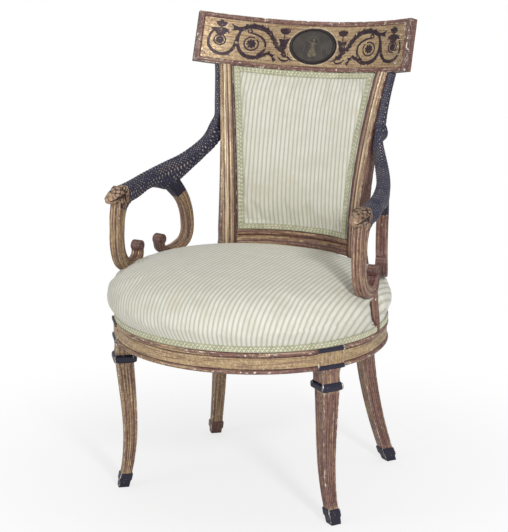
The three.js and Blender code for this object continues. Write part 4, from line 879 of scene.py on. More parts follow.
def back_normal(x, z):
    step = 0.5
    over_x = (back_surface(x + step, z) - back_surface(x - step, z)) / (2 * step)
    over_z = (back_surface(x, z + step) - back_surface(x, z - step)) / (2 * step)
    return unit(np.stack([-over_x, np.ones_like(over_x), -over_z], -1))


def back_point(across, rise, depth, inset_side=0.0, inset_end=0.0):
    across, rise, depth = np.broadcast_arrays(*(np.asarray(v, float) for v in (across, rise, depth)))
    low = BACK_RAIL_HIGH + inset_end
    rough = across * stile_edge(mix(low, CREST_LOW, rise))[..., 0]
    high = CREST_LOW + crest_sag(rough) * math.sin(CREST_TILT) - inset_end
    z = mix(low, high, rise)
    x = across * (stile_edge(z)[..., 0] - inset_side)
    return np.stack([x, back_surface(x, z), z], -1) + back_normal(x, z) * depth[..., None]


def back_rail():
    shape = [(0.9, 0.02), (0.1, 0.02), (0.03, 0.06), (0, 0.12), (0, 0.24), (0.03, 0.3), (0.08, 0.33), (0.1, 0.36),
             (0.1, 0.6), (0.08, 0.64), (0.03, 0.68), (0, 0.74), (0, 0.9), (0.03, 0.96), (0.08, 1), (0.94, 1),
             (0.99, 0.95), (1, 0.88), (1, 0.1), (0.97, 0.04)]
    # Painted shade: the walls of the sunk band take a dark tone.
    tone = [0.5, 0.6, 0.5, 0.4, 0.5, 0.9, 1.1, 0.5, 0.3, 0.9, 1.1, 0.6, 0.4, 0.5, 0.7, 0.8, 0.8, 0.8, 0.8, 0.8]
    reach = stile_edge(BACK_RAIL_HIGH)[0] + 2
    xs = np.linspace(-reach, reach, 70)
    deep, rise = np.array(shape).T
    x, z = np.meshgrid(xs, mix(BACK_RAIL_LOW - 11.0, BACK_RAIL_HIGH, rise), indexing="ij")
    way = back_normal(x, z) * [1, 1, 0]
    points = np.stack([x, back_surface(x, z), z], -1) + way * (1.5 + deep * 24)[None, :, None]
    count = len(shape)
    along = np.stack(np.broadcast_arrays(xs[:, None], np.arange(count)[None] * 3.0, 0.0), -1) * MM
    marks = {"tone": np.tile(tone, len(xs)), "black": np.zeros(len(xs) * count),
             "edge": np.zeros(len(xs) * count), "along": along.reshape(-1, 3)}
    build("back_rail_piece", points, loft_faces(len(xs), count), GILT, ("back_rail",), marks)


# Painted ornament of the crest, in millimetres from its middle and up from its lower edge.
# Each stroke is a list of points with the stroke's half width; the left half is drawn and mirrored.


def arc(cx, cy, rx, ry, start, end, width, steps=18):
    a = np.radians(np.linspace(start, end, steps))
    return [(cx + rx * math.cos(t), cy + ry * math.sin(t), width) for t in a]


def curve(points, per=6):
    return [tuple(row) for row in spline(points, per)]


def leaf(x0, y0, x1, y1, bulge, width):
    """A leaf from its foot to its tip, bent sideways by bulge."""
    mx, my = (x0 + x1) / 2, (y0 + y1) / 2
    dx, dy = x1 - x0, y1 - y0
    reach = math.hypot(dx, dy)
    mx, my = mx - bulge * dy / reach, my + bulge * dx / reach
    return curve([(x0, y0, 0.9), (mx, my, 1.25 * width), (x1, y1, 0.25)], 6)


def fronds(stem, spots, size, spread, width):
    """Pointed leaves beside a stem, swept back towards its start."""
    line, out = np.array(stem)[:, :2], []
    for spot in spots:
        i = int(spot * (len(line) - 2))
        (x, y), (ahead_x, ahead_y) = line[i], line[i + 1]
        back = math.atan2(y - ahead_y, x - ahead_x)
        for side in (1, -1):
            a = back + side * spread
            out.append(leaf(x, y, x + size * math.cos(a), y + size * math.sin(a), -side * 2.4, width))
    return out


def ornament_strokes():
    s = []
    # Small scroll by the end
    s.append(arc(-191, 50, 10.5, 10.5, 80, 420, 1.3, 26))
    s.append(curve([(-176, 66, 1.2), (-183, 74, 1.5), (-196, 74, 1.6), (-206, 66, 1.6), (-211, 52, 1.6), (-210, 37, 1.7),
                    (-200, 25, 1.9), (-185, 21, 2.0), (-172, 26, 2.0), (-164, 38, 2.0), (-161, 52, 1.8), (-158, 64, 1.5),
                    (-156, 75, 0.8)]))
    s.append(arc(-191, 50, 3.4, 4.2, 0, 360, 2.4, 14))
    s.append(curve([(-191, 58, 1.4), (-191, 70, 1.5), (-191, 86, 1.1)]))
    s += [leaf(-191, 78, -180, 88, 2, 2.2), leaf(-191, 78, -202, 88, -2, 2.2), leaf(-191, 80, -191, 93, 0, 2.4),
          leaf(-191, 64, -176, 73, 2, 2.4), leaf(-191, 64, -209, 73, -2, 2.4), leaf(-191, 60, -182, 70, 1, 2.6),
          leaf(-191, 60, -199, 70, -1, 2.6)]
    s += fronds(s[1][::-1], (0.16, 0.24, 0.32, 0.40), 10.5, 0.4, 1.5)
    # Acanthus over the large scroll, down to the oval
    s.append(curve([(-172, 86, 0.8), (-163, 80, 1.9), (-153, 78, 2.5), (-140, 84, 3.0), (-125, 86, 3.2), (-110, 83, 3.1),
                    (-98, 76, 2.9), (-90, 67, 2.7), (-82, 56, 2.5), (-76, 47, 2.3), (-68, 40, 2.1), (-60, 32, 1.9),
                    (-52, 26, 1.6), (-44, 21, 0.8)]))
    s += fronds(s[-1], np.linspace(0.14, 0.9, 12), 15.0, 0.45, 1.8)
    s.append(arc(-136, 75, 4.0, 3.4, -60, 200, 1.4, 12))
    # Large scroll
    s.append(arc(-131, 49, 14, 14, 70, 400, 1.4, 28))
    s.append(curve([(-139, 72, 1.2), (-125, 70, 1.6), (-112, 64, 1.7), (-104, 55, 1.7), (-103, 43, 1.7), (-107, 34, 1.8),
                    (-116, 27, 1.6)]))
    lower = curve([(-146, 80, 0.8), (-154, 74, 1.7), (-158, 56, 1.9), (-155, 38, 2.1), (-145, 25, 2.5), (-130, 20, 2.7),
                   (-115, 22, 2.5), (-103, 29, 2.1), (-95, 31, 1.8), (-88, 27, 1.4), (-82, 19, 0.8)])
    s.append(lower)
    s.append(arc(-131, 49, 4.6, 4.6, 0, 360, 1.5, 16))
    s.append([(-131.3, 49, 1.8), (-130.7, 49, 1.8)])
    for k in range(8):
        t = math.radians(45 * k + 10)
        s.append(leaf(-131 + 5 * math.cos(t), 49 + 5 * math.sin(t), -131 + 9.5 * math.cos(t), 49 + 9.5 * math.sin(t), 0, 1.4))
    s += fronds(lower[::-1], (0.08, 0.18, 0.28, 0.38, 0.48, 0.58), 11.5, 0.42, 1.6)
    # Flower on its stem, beside the oval
    s.append(curve([(-66, 40, 1.0), (-66, 58, 1.2), (-65, 80, 1.1)]))
    for x in (-76, -71, -65, -59, -53):
        s.append(leaf(-65, 76, x, 89 - 0.08 * abs(x + 65) ** 1.4, 0, 2.2))
    s += [leaf(-66, 48, -77, 66, -3, 2.4), leaf(-65, 46, -53, 68, 3, 2.4), leaf(-66, 44, -72, 56, -1, 2.4),
          leaf(-65, 42, -59, 54, 1, 2.4)]
    s.append(curve([(-74, 26, 1.0), (-66, 20, 1.6), (-56, 19, 1.5), (-49, 25, 0.9)]))
    s.append(arc(-60, 32, 5.5, 4.5, 150, 380, 1.5, 12))
    return s


def ink_distance(x, h):
    """Positive inside the painted strokes, in millimetres, at places on the crest's panel."""
    best = np.full(x.shape, -99.0)
    left = -np.abs(x)
    for stroke in ornament_strokes():
        pts = np.array(stroke)
        for (ax, ay, aw), (bx, by, bw) in zip(pts[:-1], pts[1:]):
            near = (left > min(ax, bx) - 6) & (left < max(ax, bx) + 6) & (h > min(ay, by) - 6) & (h < max(ay, by) + 6)
            if not near.any():
                continue
            px, py = left[near] - ax, h[near] - ay
            dx, dy = bx - ax, by - ay
            t = np.clip((px * dx + py * dy) / max(dx * dx + dy * dy, 1e-9), 0, 1)
            half = mix(aw, bw, t)
            d = half * (1.1 + 0.5 * smooth(half, 1.3, 2.0)) - np.hypot(px - t * dx, py - t * dy)
            best[near] = np.maximum(best[near], d)
    return best


CREST_BORDER, CREST_SINK = 10.0, 2.5
OVAL = (51.0, 36.5)


def border_drop(d):
    """Three reeds along the crest's border, by the distance from its edge; the panel lies lower."""
    cell = d / (CREST_BORDER - 1.0) * 3
    u = 2 * (cell - np.floor(cell)) - 1
    reeds = 1.1 * (1 - np.sqrt(np.maximum(1 - (0.94 * u) ** 2, 0)))
    return np.where(d < CREST_BORDER - 1.0, reeds, mix(1.1, CREST_SINK, smooth(d, CREST_BORDER - 1.0, CREST_BORDER)))


def crest():
    step = 0.8
    xs = np.linspace(-CREST_HALF, CREST_HALF, int(2 * CREST_HALF / step) + 1)
    hs = np.linspace(0, CREST_HEIGHT, int(CREST_HEIGHT / step) + 1)
    x, h = np.meshgrid(xs, hs, indexing="ij")
    side = CREST_HALF - np.abs(x)
    end = np.minimum(h, CREST_HEIGHT - h)
    d = np.minimum(side, end)
    drop = border_drop(d)
    drop = np.maximum(drop, 1.2 * (1 - smooth(d, 0, 1.2)))
    ink = ink_distance(x, h)
    inside = d > CREST_BORDER + 1
    ink = np.where(inside, ink, -3.0)
    proud = -drop + 0.25 * smooth(ink, -0.6, 0.6)
    front = crest_point(x, h, proud)
    # The back and the edges close the board
    backs = np.array([CREST_HEIGHT + 0.0, CREST_HEIGHT - 0.6, CREST_HEIGHT * 0.75, CREST_HEIGHT * 0.5,
                      CREST_HEIGHT * 0.25, 0.6, 0.0])
    depth = np.array([-CREST_THICK + 1.5, -CREST_THICK, -CREST_THICK, -CREST_THICK, -CREST_THICK, -CREST_THICK,
                      -CREST_THICK + 1.5])
    bx, bh = np.meshgrid(xs, backs, indexing="ij")
    rear = crest_point(bx, bh, np.broadcast_to(depth, bx.shape))
    points = np.concatenate([front, rear], 1)
    rows, count = points.shape[:2]
    # Painted shade: the grooves of the border's reeds are darkened, in tone and in black.
    border = (d < CREST_BORDER).astype(float)
    groove = np.clip(drop / 1.1, 0, 1) * border
    tone_front = np.where(d < CREST_BORDER, 0.6 + 0.5 * groove, 0.0)
    line = np.abs(np.hypot(x / (OVAL[0] + 3.5), (h - CREST_HEIGHT / 2) / (OVAL[1] + 3.5)) - 1) * 44
    tone_front = np.where(line < 1.2, -0.4, tone_front)
    ring = np.hypot(x / (OVAL[0] + 2), (h - CREST_HEIGHT / 2) / (OVAL[1] + 2)) < 1
    black_front = np.where(ring & inside, 0.9, np.where(d < CREST_BORDER, 0.1 + 0.3 * groove, 0.0))
    blank = np.zeros((rows, rear.shape[1]))
    # The reeds of the two short borders run upwards
    upward = (side < end) & (d < CREST_BORDER)
    front_along = np.stack([np.where(upward, h, x), np.where(upward, x, h), 0 * x], -1)
    rear_along = np.stack([bx, bh, np.broadcast_to(depth, bx.shape)], -1)
    along = np.concatenate([front_along, rear_along], 1) * MM
    marks = {
        "tone": np.concatenate([tone_front, blank + 0.8], 1).ravel(),
        "black": np.concatenate([black_front, blank + 0.2], 1).ravel(),
        "edge": np.concatenate([np.maximum(np.where(d < 1.5, 1.0, (d < CREST_BORDER) * 0.45), smooth(x, 180, 205) * 0.6), blank], 1).ravel(),
        "ink": np.concatenate([ink, blank - 3], 1).ravel(),
        "along": along.reshape(-1, 3),
    }
    build("crest_rail_piece", points, loft_faces(rows, count), CREST_GILT, ("crest_rail",), marks)


def capsule(x, y, ax, ay, bx, by, ra, rb):
    """How far inside a tapered limb places lie, as a height like that of a round bar."""
    dx, dy = bx - ax, by - ay
    t = np.clip(((x - ax) * dx + (y - ay) * dy) / max(dx * dx + dy * dy, 1e-9), 0, 1)
    r = mix(ra, rb, t)
    d = np.hypot(x - ax - t * dx, y - ay - t * dy) / r
    return np.where(d < 1, np.sqrt(np.maximum(1 - d * d, 0)) * r * 0.55, 0)


def relief_figure(x, y):
    """A plain robed dancer of no one's likeness with a garland, over a line for the ground."""
    robe = np.maximum.reduce([
        capsule(x, y, 0, -4, -5, -21, 5.5, 7.5), capsule(x, y, 1, -4, 5, -21, 5, 6.5),
        capsule(x, y, 0, 8, 0, -4, 5.0, 5.2), capsule(x, y, 5, -14, 12, -20, 2.6, 1.8),
    ])
    folds = 0.5 * np.sin(x * 2.2 + 0.12 * y * y * 0.1 + y * 0.35) * (robe > 0.6) * (y < 2)
    limbs = np.maximum.reduce([
        capsule(x, y, -4, 9, -13, 13, 2.0, 1.6), capsule(x, y, -13, 13, -19, 20, 1.6, 1.1),
        capsule(x, y, 4, 9, 12, 6, 2.0, 1.6), capsule(x, y, 12, 6, 18, 12, 1.6, 1.1),
        capsule(x, y, 0, 11, 0.5, 14, 1.8, 1.7), capsule(x, y, 0.6, 16.5, 0.8, 18, 3.0, 2.9),
        capsule(x, y, -6, -20, -8, -24.5, 1.8, 1.3), capsule(x, y, 6, -20, 9, -24.5, 1.8, 1.3),
    ])
    garland = [capsule(x, y, a, b, c, d, 1.5, 1.5) for a, b, c, d in (
        (-19, 20, -12, 23.5), (-12, 23.5, 0, 25.5), (0, 25.5, 11, 22), (11, 22, 18, 12),
        (-25, -12, -24, 0), (-24, 0, -27, 9), (26, -14, 25, -2), (25, -2, 28, 6))]
    ground = capsule(x, y, -30, -25.5, 30, -25.5, 1.2, 1.2)
    return np.maximum.reduce([robe + folds, limbs, ground] + garland)


def medallion():
    radial = np.concatenate([np.linspace(1, 0.86, 20), np.linspace(0.85, 0.02, 70)])
    turn = np.linspace(0, 2 * math.pi, 240, endpoint=False)
    r, a = np.meshgrid(radial, turn, indexing="ij")
    x, y = r * OVAL[0] * np.cos(a), r * OVAL[1] * np.sin(a)
    figure = relief_figure(x * 1.25, y * 1.25 + 1)
    rim = smooth(r, 0.885, 0.9)
    bead = np.sqrt(np.maximum(1 - ((r - 0.95) / 0.052) ** 2, 0))
    dish = 2.4 + 0.6 * (1 - r ** 2)
    proud = np.where(r > 0.895, 1.0 + 3.2 * bead, dish + np.clip(figure, 0, 2.0) * 0.75)
    floor = 0.4 - CREST_SINK
    top = crest_point(x, CREST_HEIGHT / 2 + y, floor + proud)
    edge = crest_point(x[0], CREST_HEIGHT / 2 + y[0], np.full(len(turn), floor))
    points = np.concatenate([edge[None], top])
    faces = loft_faces(len(points), len(turn))
    zero = np.zeros(len(turn))
    marks = {"rim": np.concatenate([zero + 1, rim.ravel()]), "proud": np.concatenate([zero, (figure * (r < 0.88)).ravel()])}
    build("crest_medallion_piece", points, faces, BRONZE, ("crest_medallion",), marks, sharp=60)


# Arms: carved serpents

ARM_SPAN, ARM_BEND_START = SEAT_HALF - 13.5, -20.0
ARM_LOW, ARM_HIGH, ARM_FRONT = 585.0, 710.0, -36.0
ARM_MEETING = stile_edge(ARM_HIGH, True)
ARM_BACK = float(ARM_MEETING[1])
ARM_DRAW = ARM_SPAN - float(ARM_MEETING[0]) - 10.5
ARM_RADIUS = (ARM_DRAW ** 2 + (ARM_BACK - ARM_BEND_START) ** 2) / (2 * ARM_DRAW)
ARM_DEPTH, ARM_WIDTH = 36.5, 27.0
HEAD_LENGTH, HEAD_DEPTH, HEAD_WIDTH = 68.0, 33.0, 30.0


def arm_x(y):
    past = np.maximum(y - ARM_BEND_START, 0)
    return ARM_SPAN - ARM_RADIUS + np.sqrt(ARM_RADIUS ** 2 - past ** 2)


def arm_outward(y):
    past = np.maximum(y - ARM_BEND_START, 0)
    return unit(np.stack([np.sqrt(ARM_RADIUS ** 2 - past ** 2), past, 0 * past], -1))


BODY = [(0.0, 0.02, 0.97, 1.06), (0.14, 0.04, 1.0, 1.04), (0.30, 0.11, 0.90, 1.0), (0.45, 0.16, 1.0, 1.0),
        (0.59, 0.22, 1.03, 1.0), (0.71, 0.29, 1.0, 0.96), (0.80, 0.38, 0.94, 0.92), (0.88, 0.50, 0.83, 0.85),
        (0.94, 0.63, 0.72, 0.76), (0.98, 0.80, 0.60, 0.66)]
HEAD = [(0.95, -0.05, 0.20, 0.30), (0.92, -0.04, 0.34, 0.46), (0.86, -0.03, 0.48, 0.62), (0.72, 0.02, 0.68, 0.82),
        (0.52, 0.08, 0.90, 1.0), (0.26, 0.08, 1.0, 1.04)]


# How much further down the serpent's underside reaches, by the place along the arm
UNDERSIDE = [(-66, 0), (-56, 22), (-46, 22), (-36, 8), (-20, 1), (60, 0), (80, 8), (96, 18), (110, 17), (131, 10),
             (147, 5), (165, 1), (190, 2), (204, 6), (214, 14), (221, 17)]


def serpent_line():
    rows = []
    for along, rise, deep, wide in HEAD:
        y = ARM_FRONT - along * HEAD_LENGTH
        rows.append([*(arm_x(y), y, ARM_LOW + rise * 36), *arm_outward(np.array(y)), deep * HEAD_DEPTH,
                     wide * HEAD_WIDTH])
    for along, rise, deep, wide in BODY:
        y = mix(ARM_FRONT, ARM_BACK, along)
        rows.append([*(arm_x(y), y, mix(ARM_LOW, ARM_HIGH, rise)), *arm_outward(np.array(y)), deep * ARM_DEPTH,
                     wide * ARM_WIDTH])
    for part in (0.0, 0.33, 0.67, 1.0, 1.25):
        z = mix(ARM_HIGH, CREST_LOW, part)
        swell = 1 + 0.26 * max(1 - part, 0) ** 2
        wide, deep = 10.5 * swell, 18 * swell
        at = upright_at(z)
        place = stile_edge(z, True) - at["t"] * wide / 2 + at["n"] * (deep / 2 + 4)
        rows.append([*place, *(-at["t"]), deep, wide])
    return spline(rows, 24)


def serpent():
    line, run = resample(serpent_line(), 1.15)
    count = 104
    centre, outward, deep, wide = line[:, :3], unit(line[:, 3:6]), line[:, 6], line[:, 7]
    tangent = unit(np.gradient(centre, axis=0))
    w = unit(outward - (outward * tangent).sum(-1, keepdims=True) * tangent)
    h = unit(np.cross(w, tangent))
    h = np.where(h[:, 2:3] < 0, -h, h)
    a = np.linspace(0, 2 * math.pi, count, endpoint=False)
    ca, sa = np.cos(a), np.sin(a)
    power = mix(0.62, 0.85, 1 - smooth(run, 20, 60))[:, None]
    ex, ey = np.sign(ca) * np.abs(ca) ** power, np.sign(sa) * np.abs(sa) ** power
    # The underside reaches down to close the ring under the arm
    low = np.interp(centre[:, 1], *np.array(UNDERSIDE).T) * (centre[:, 2] < ARM_HIGH)
    low = np.convolve(np.pad(low, 6, "edge"), np.ones(13) / 13, "valid")
    depth = deep[:, None] / 2 + low[:, None] * (ey < 0)
    head_end = HEAD_LENGTH
    u = np.repeat(run[:, None], count, 1)
    v = np.repeat(a[None], len(run), 0)
    size = np.repeat(((deep + wide) / 2)[:, None], count, 1)
    # Diamond scales, a whole number round the body
    around = 14
    f = v / (2 * math.pi) * around
    g = u / 9.5
    lattice = np.abs(np.sin(math.pi * (g + f)) * np.sin(math.pi * (g - f)))
    scales = lattice ** 0.55
    on_body = smooth(u, head_end - 12, head_end + 2)
    belly = smooth(-np.sin(v), 0.8, 0.95)
    plates = np.abs(np.sin(math.pi * u / 8.0)) ** 0.5
    cover = mix(scales, plates, belly)
    height = on_body * (cover - 0.7) * 2.0 * np.clip(size / 30, 0.45, 1)
    # The head: a mouth line, eye mounds with rings, and a brow. The dark marks are painted shade in the mouth, eye
    # rings, nostrils, creases and collar folds; the eyes' middles are darkened too.
    s = 1 - u / head_end
    rise = np.sin(v)
    ahead = np.clip(0.9 - s, 0, 1)
    on_head = 1 - smooth(u, head_end - 14, head_end - 6)
    mouth = np.exp(-((rise + 0.12 - 0.25 * ahead) / 0.14) ** 2) * (s > 0.25) * on_head
    lip = np.exp(-((rise - 0.16 - 0.22 * ahead) / 0.13) ** 2) * (s > 0.2) * on_head
    height += (1.4 * lip - 2.8 * mouth) * smooth(u, 1, 8)
    dark = mouth + 0.0
    for turn in (0.72, math.pi - 0.72):
        across = (v - turn) * size / 2
        r = np.hypot(u - 46, across)
        height += np.where(r < 9, 3.4 * np.sqrt(np.maximum(1 - (r / 9) ** 2, 0)), 0)
        ring = np.exp(-((r - 6.5) / 1.8) ** 2)
        height -= 2.2 * ring
        dark += ring + np.exp(-(r / 1.8) ** 2)
        brow = np.exp(-(((u - 51) * 0.35 + across * 0.94 * (1 if turn < 1 else -1) - 4) / 2.0) ** 2)
        height += 1.5 * brow * np.exp(-((u - 47) / 12) ** 2) * (np.abs(across) < 9)
        nostril = np.exp(-(np.hypot(u - 9, (v - turn) * size / 2 + (1 if turn < 1 else -1) * 1) / 1.8) ** 2)
        height -= 1.2 * nostril
        dark += nostril
    cheek = np.abs(np.sin(math.pi * (u / 14 + f / 2)) * np.sin(math.pi * (u / 14 - f / 2)))
    creases = smooth(0.42 - cheek, 0.0, 0.34) * smooth(u, 8, 20) * on_head
    dark += 0.75 * creases
    height -= 1.0 * creases
    crest_line = np.exp(-((rise - 1) / 0.08) ** 2) * on_head
    height += 0.8 * crest_line
    folds = 0.5 + 0.5 * np.sin(u * 0.9 + 1.4 * np.cos(3 * v))
    collar = smooth(u, 52, 56) * (1 - smooth(u, 60, 66))
    height += 1.1 * collar * (folds - 0.5)
    dark += collar * smooth(folds, 0.3, 0.0) * 0.9
    normal_x, normal_y = ca / (wide[:, None] / 2), sa / (deep[:, None] / 2)
    long = np.hypot(normal_x, normal_y)
    normal = (normal_x / long)[..., None] * w[:, None] + (normal_y / long)[..., None] * h[:, None]
    narrow = 1 - 0.12 * np.clip(-ey, 0, 1) * np.minimum(low / 15, 1)[:, None]
    points = centre[:, None] + (ex * narrow * wide[:, None] / 2)[..., None] * w[:, None]
    points = points + (ey * depth)[..., None] * h[:, None] + height[..., None] * normal
    gilt = 1 - smooth(u + 16 * np.clip(-np.sin(v), 0, 1), head_end - 10, head_end - 2)
    # On the head this holds the painted shade of the crevices; on the body, the scale relief.
    shade = mix(np.clip(0.75 - dark, 0, 1), cover, on_body)
    over = crest_height_of(points)
    # The tail ends flat against the crest's lower edge
    points = points - np.maximum(over - 0.6, 0)[..., None] * CREST_RISE
    keep = int(np.argmax(over.min(1) > 0.6)) + 1 if (over.min(1) > 0.6).any() else len(run)
    points, gilt, shade = points[:keep], gilt[:keep], shade[:keep]
    marks = {"gilt": gilt.ravel(), "scale": np.clip(shade, 0, 1).ravel()}
    build_pair("serpent_arm", points, loft_faces(keep, count), SERPENT, marks, sharp=0)


# Scrolls under the arms

SCROLL_WIDTH, SCROLL_DEPTH = 23.5, 22.5
SCROLL_FRONT, SCROLL_BACK, RING_MIDDLE = -67.0, 159.0, 50.0
SCROLL_LOW, SCROLL_HIGH, ROLL_Z = 438.0, 582.0, 471.5
FRONT_SCROLL = [(0.86, 1.0, 1.55), (0.91, 0.89, 1.36), (0.97, 0.74, 1.14), (0.99, 0.57, 1.0), (1.0, 0.42, 1.0),
                (0.97, 0.26, 1.0), (0.89, 0.125, 1.05), (0.75, 0.035, 1.09), (0.58, 0.0, 1.0), (0.43, 0.02, 0.82),
                (0.335, 0.09, 0.64), (0.31, 0.18, 0.59)]
REAR_SCROLL = [(0.54, 1.15, 1.45), (0.665, 1.0, 1.36), (0.80, 0.87, 1.18), (0.90, 0.74, 1.02), (0.965, 0.58, 0.94),
               (0.99, 0.42, 0.90), (0.98, 0.26, 0.84), (0.91, 0.145, 0.82), (0.77, 0.075, 0.77), (0.61, 0.04, 0.73),
               (0.44, 0.05, 0.64), (0.33, 0.105, 0.59), (0.295, 0.195, 0.55)]


def scroll_strip(shares, far, reeds, relief):
    """A reeded bar along a scroll's line; the first face looks out of the ring."""
    rows = [(mix(RING_MIDDLE, far, a), mix(SCROLL_LOW, SCROLL_HIGH, r), d * SCROLL_DEPTH) for a, r, d in shares]
    line, at_run = resample(spline(np.insert(rows, 2, 0, 1), 14), 1.6)
    run = unit(np.gradient(line[:, :2], axis=0))
    sign = 1 if far < RING_MIDDLE else -1
    rings = []
    for (y, z, _, deep), (dy, dz) in zip(line, run):
        outward = arm_outward(y)
        slope = -outward[1] / outward[0]
        at = {"centre": np.array([arm_x(y), y, z]), "n": unit(np.array([slope * dz, dz, -dy]) * sign), "t": outward}
        rings.append(section(at, z, SCROLL_WIDTH, deep, reeds, relief, 2.0))
    points, faces, across = stack(rings)
    groove = np.zeros(across.shape)
    for face, kind in enumerate(reeds):
        groove = np.where(faces == face, face_profile(kind, across), groove)
    along = np.stack(np.broadcast_arrays(at_run[:, None], across * 9, faces * 7.0), -1) * MM
    return points, line, groove, faces, along


def roll_shape(y, z, radius, width, turns=1.8):
    """A roll with a spiral cut into both its ends."""
    outward = arm_outward(np.array(float(y)))
    level = np.array([0, 0, 1.0])
    sideways = np.cross(level, outward)
    middle = np.array([float(arm_x(y)), y, z])
    a = np.linspace(0, 2 * math.pi, 64, endpoint=False)
    rings, tones = [], []

    def ring(r, out, groove):
        radii, angles = np.full_like(a, r), a
        spiral = (radii / radius * turns - angles / (2 * math.pi)) % 1.0
        cutting = groove * np.exp(-((spiral - 0.5) / 0.16) ** 2)
        place = out - np.sign(out) * cutting
        rings.append(middle + (radii * np.cos(angles))[:, None] * sideways + (radii * np.sin(angles))[:, None] * level
                     + place[:, None] * outward)
        # Painted shade: the spiral cut is darkened.
        tones.append(0.92 + 0.4 * cutting / max(groove, 1e-6) * (groove > 0))
    radii = np.linspace(0.4, radius - 1.4, 18)
    for r in radii:
        ring(r, -width / 2, 1.1 if r > 2.5 else 0)
    for r, out in ((radius - 0.8, -width / 2), (radius - 0.2, -width / 2 + 0.7), (radius, -width / 2 + 1.6)):
        ring(r, out, 0)
    for out in np.linspace(-width / 2 + 3, width / 2 - 3, 5):
        ring(radius, out, 0)
    for r, out in ((radius, width / 2 - 1.6), (radius - 0.2, width / 2 - 0.7), (radius - 0.8, width / 2)):
        ring(r, out, 0)
    for r in radii[::-1]:
        ring(r, width / 2, 1.1 if r > 2.5 else 0)
    return np.array(rings), np.array(tones)


POST_Y, POST_FOOT_X = 10.0, SEAT_HALF - 6.5


def post_shape():
    """The post under the ring: a bracket that leaves the scroll in a curve and stands on the rail."""
    levels = [(452, float(arm_x(POST_Y)), 17, 15), (444, float(arm_x(POST_Y)), 16.5, 16), (434, 257.6, 15.5, 16.5),
              (424, 258.6, 14.6, 14.5), (410, 260.2, 13.6, 13.4), (395, 262.0, 12.8, 12.8), (380, 263.8, 12.2, 12.2),
              (366, 265.4, 11.2, 12.0), (358, 266.0, 10.4, 11.8), (355.3, 266.0, 10.2, 11.8)]
    rows = spline(levels, 6)
    a = np.linspace(0, 2 * math.pi, 32, endpoint=False)
    ca, sa = np.cos(a), np.sin(a)
    ex, ey = np.sign(ca) * np.abs(ca) ** 0.45, np.sign(sa) * np.abs(sa) ** 0.45
    points = [np.stack([x + ex * wx / 2, POST_Y + ey * wy / 2, np.full_like(a, z)], -1) for z, x, wx, wy in rows]
    return np.array(points)


def plain_along(shape):
    rows, count = shape.shape[:2]
    run, across = np.arange(rows)[:, None] * 1.5, np.arange(count)[None] * 1.0
    return np.stack(np.broadcast_arrays(run, across, 0.0), -1) * MM


def near_roll(strip):
    """The scroll turns browner towards its roll."""
    return 0.45 * smooth(np.linspace(0, 1, len(strip)), 0.68, 0.92)[:, None]


def scrolls():
    strip, line, groove, faces, along = scroll_strip(FRONT_SCROLL, SCROLL_FRONT, (3, 2, 3, 2), 1.7)
    # The serpent's dark neck runs a little way down the inner side
    neck = smooth(line[:, 1], 548, 572)[:, None] * (faces != 0) * (faces != 1)
    # Painted shade: the flutes' grooves are darkened through the tone.
    parts = [(strip, 0.08 + 1.2 * groove ** 0.7 + near_roll(strip), neck, along)]
    shape, tones = roll_shape(13.0, ROLL_Z, 11.5, 20.0)
    parts.append((shape, tones, 0.4 * np.ones_like(tones), plain_along(shape)))
    post = post_shape()
    parts.append((post, np.full(post.shape[:2], 0.55), np.zeros(post.shape[:2]), plain_along(post)))
    join_parts("front_scroll", parts)
    strip, line, groove, faces, along = scroll_strip(REAR_SCROLL, SCROLL_BACK, (3, 2, 3, 2), 1.5)
    dark = smooth(line[:, 1], 556, 566)[:, None] * np.ones_like(groove)
    # Painted shade: the flutes' grooves are darkened through the tone.
    parts = [(strip, 0.3 + 1.0 * groove ** 0.7 + near_roll(strip), dark, along)]
    shape, tones = roll_shape(84.0, ROLL_Z, 11.5, 20.0)
    parts.append((shape, tones, 0.3 * np.ones_like(tones), plain_along(shape)))
    join_parts("rear_scroll", parts)


def join_parts(name, parts):
    points, faces, start = [], [], 0
    marks = {"tone": [], "black": [], "along": []}
    for shape, tones, blacks, along in parts:
        rows, count = shape.shape[:2]
        own = loft_faces(rows, count)
        if volume_sign(shape.reshape(-1, 3) - shape.reshape(-1, 3).mean(0), own) < 0:
            own = [f[::-1] for f in own]
        faces += [[i + start for i in f] for f in own]
        points.append(shape.reshape(-1, 3))
        marks["tone"].append(np.ravel(tones))
        marks["black"].append(np.ravel(blacks))
        marks["along"].append(along.reshape(-1, 3))
        start += rows * count
    marks = {key: np.concatenate(values) for key, values in marks.items()}
    marks["edge"] = np.zeros(start)
    build_pair(name, np.concatenate(points), faces, GILT_SHADED, marks)


# Upholstery

WIDEST, CROWN, BULGE = 397.0, 466.0, 9.0
CUSHION_LEAN = 4.5
CUSHION_SIDE = spline([(9.0, 397), (8.4, 390.5), (6.5, 384.5), (3.0, 377.5), (-0.6, 371.5), (-2.6, 366.5), (-2.9, 361.5),
                       (-2.9, 356.6)], 2)


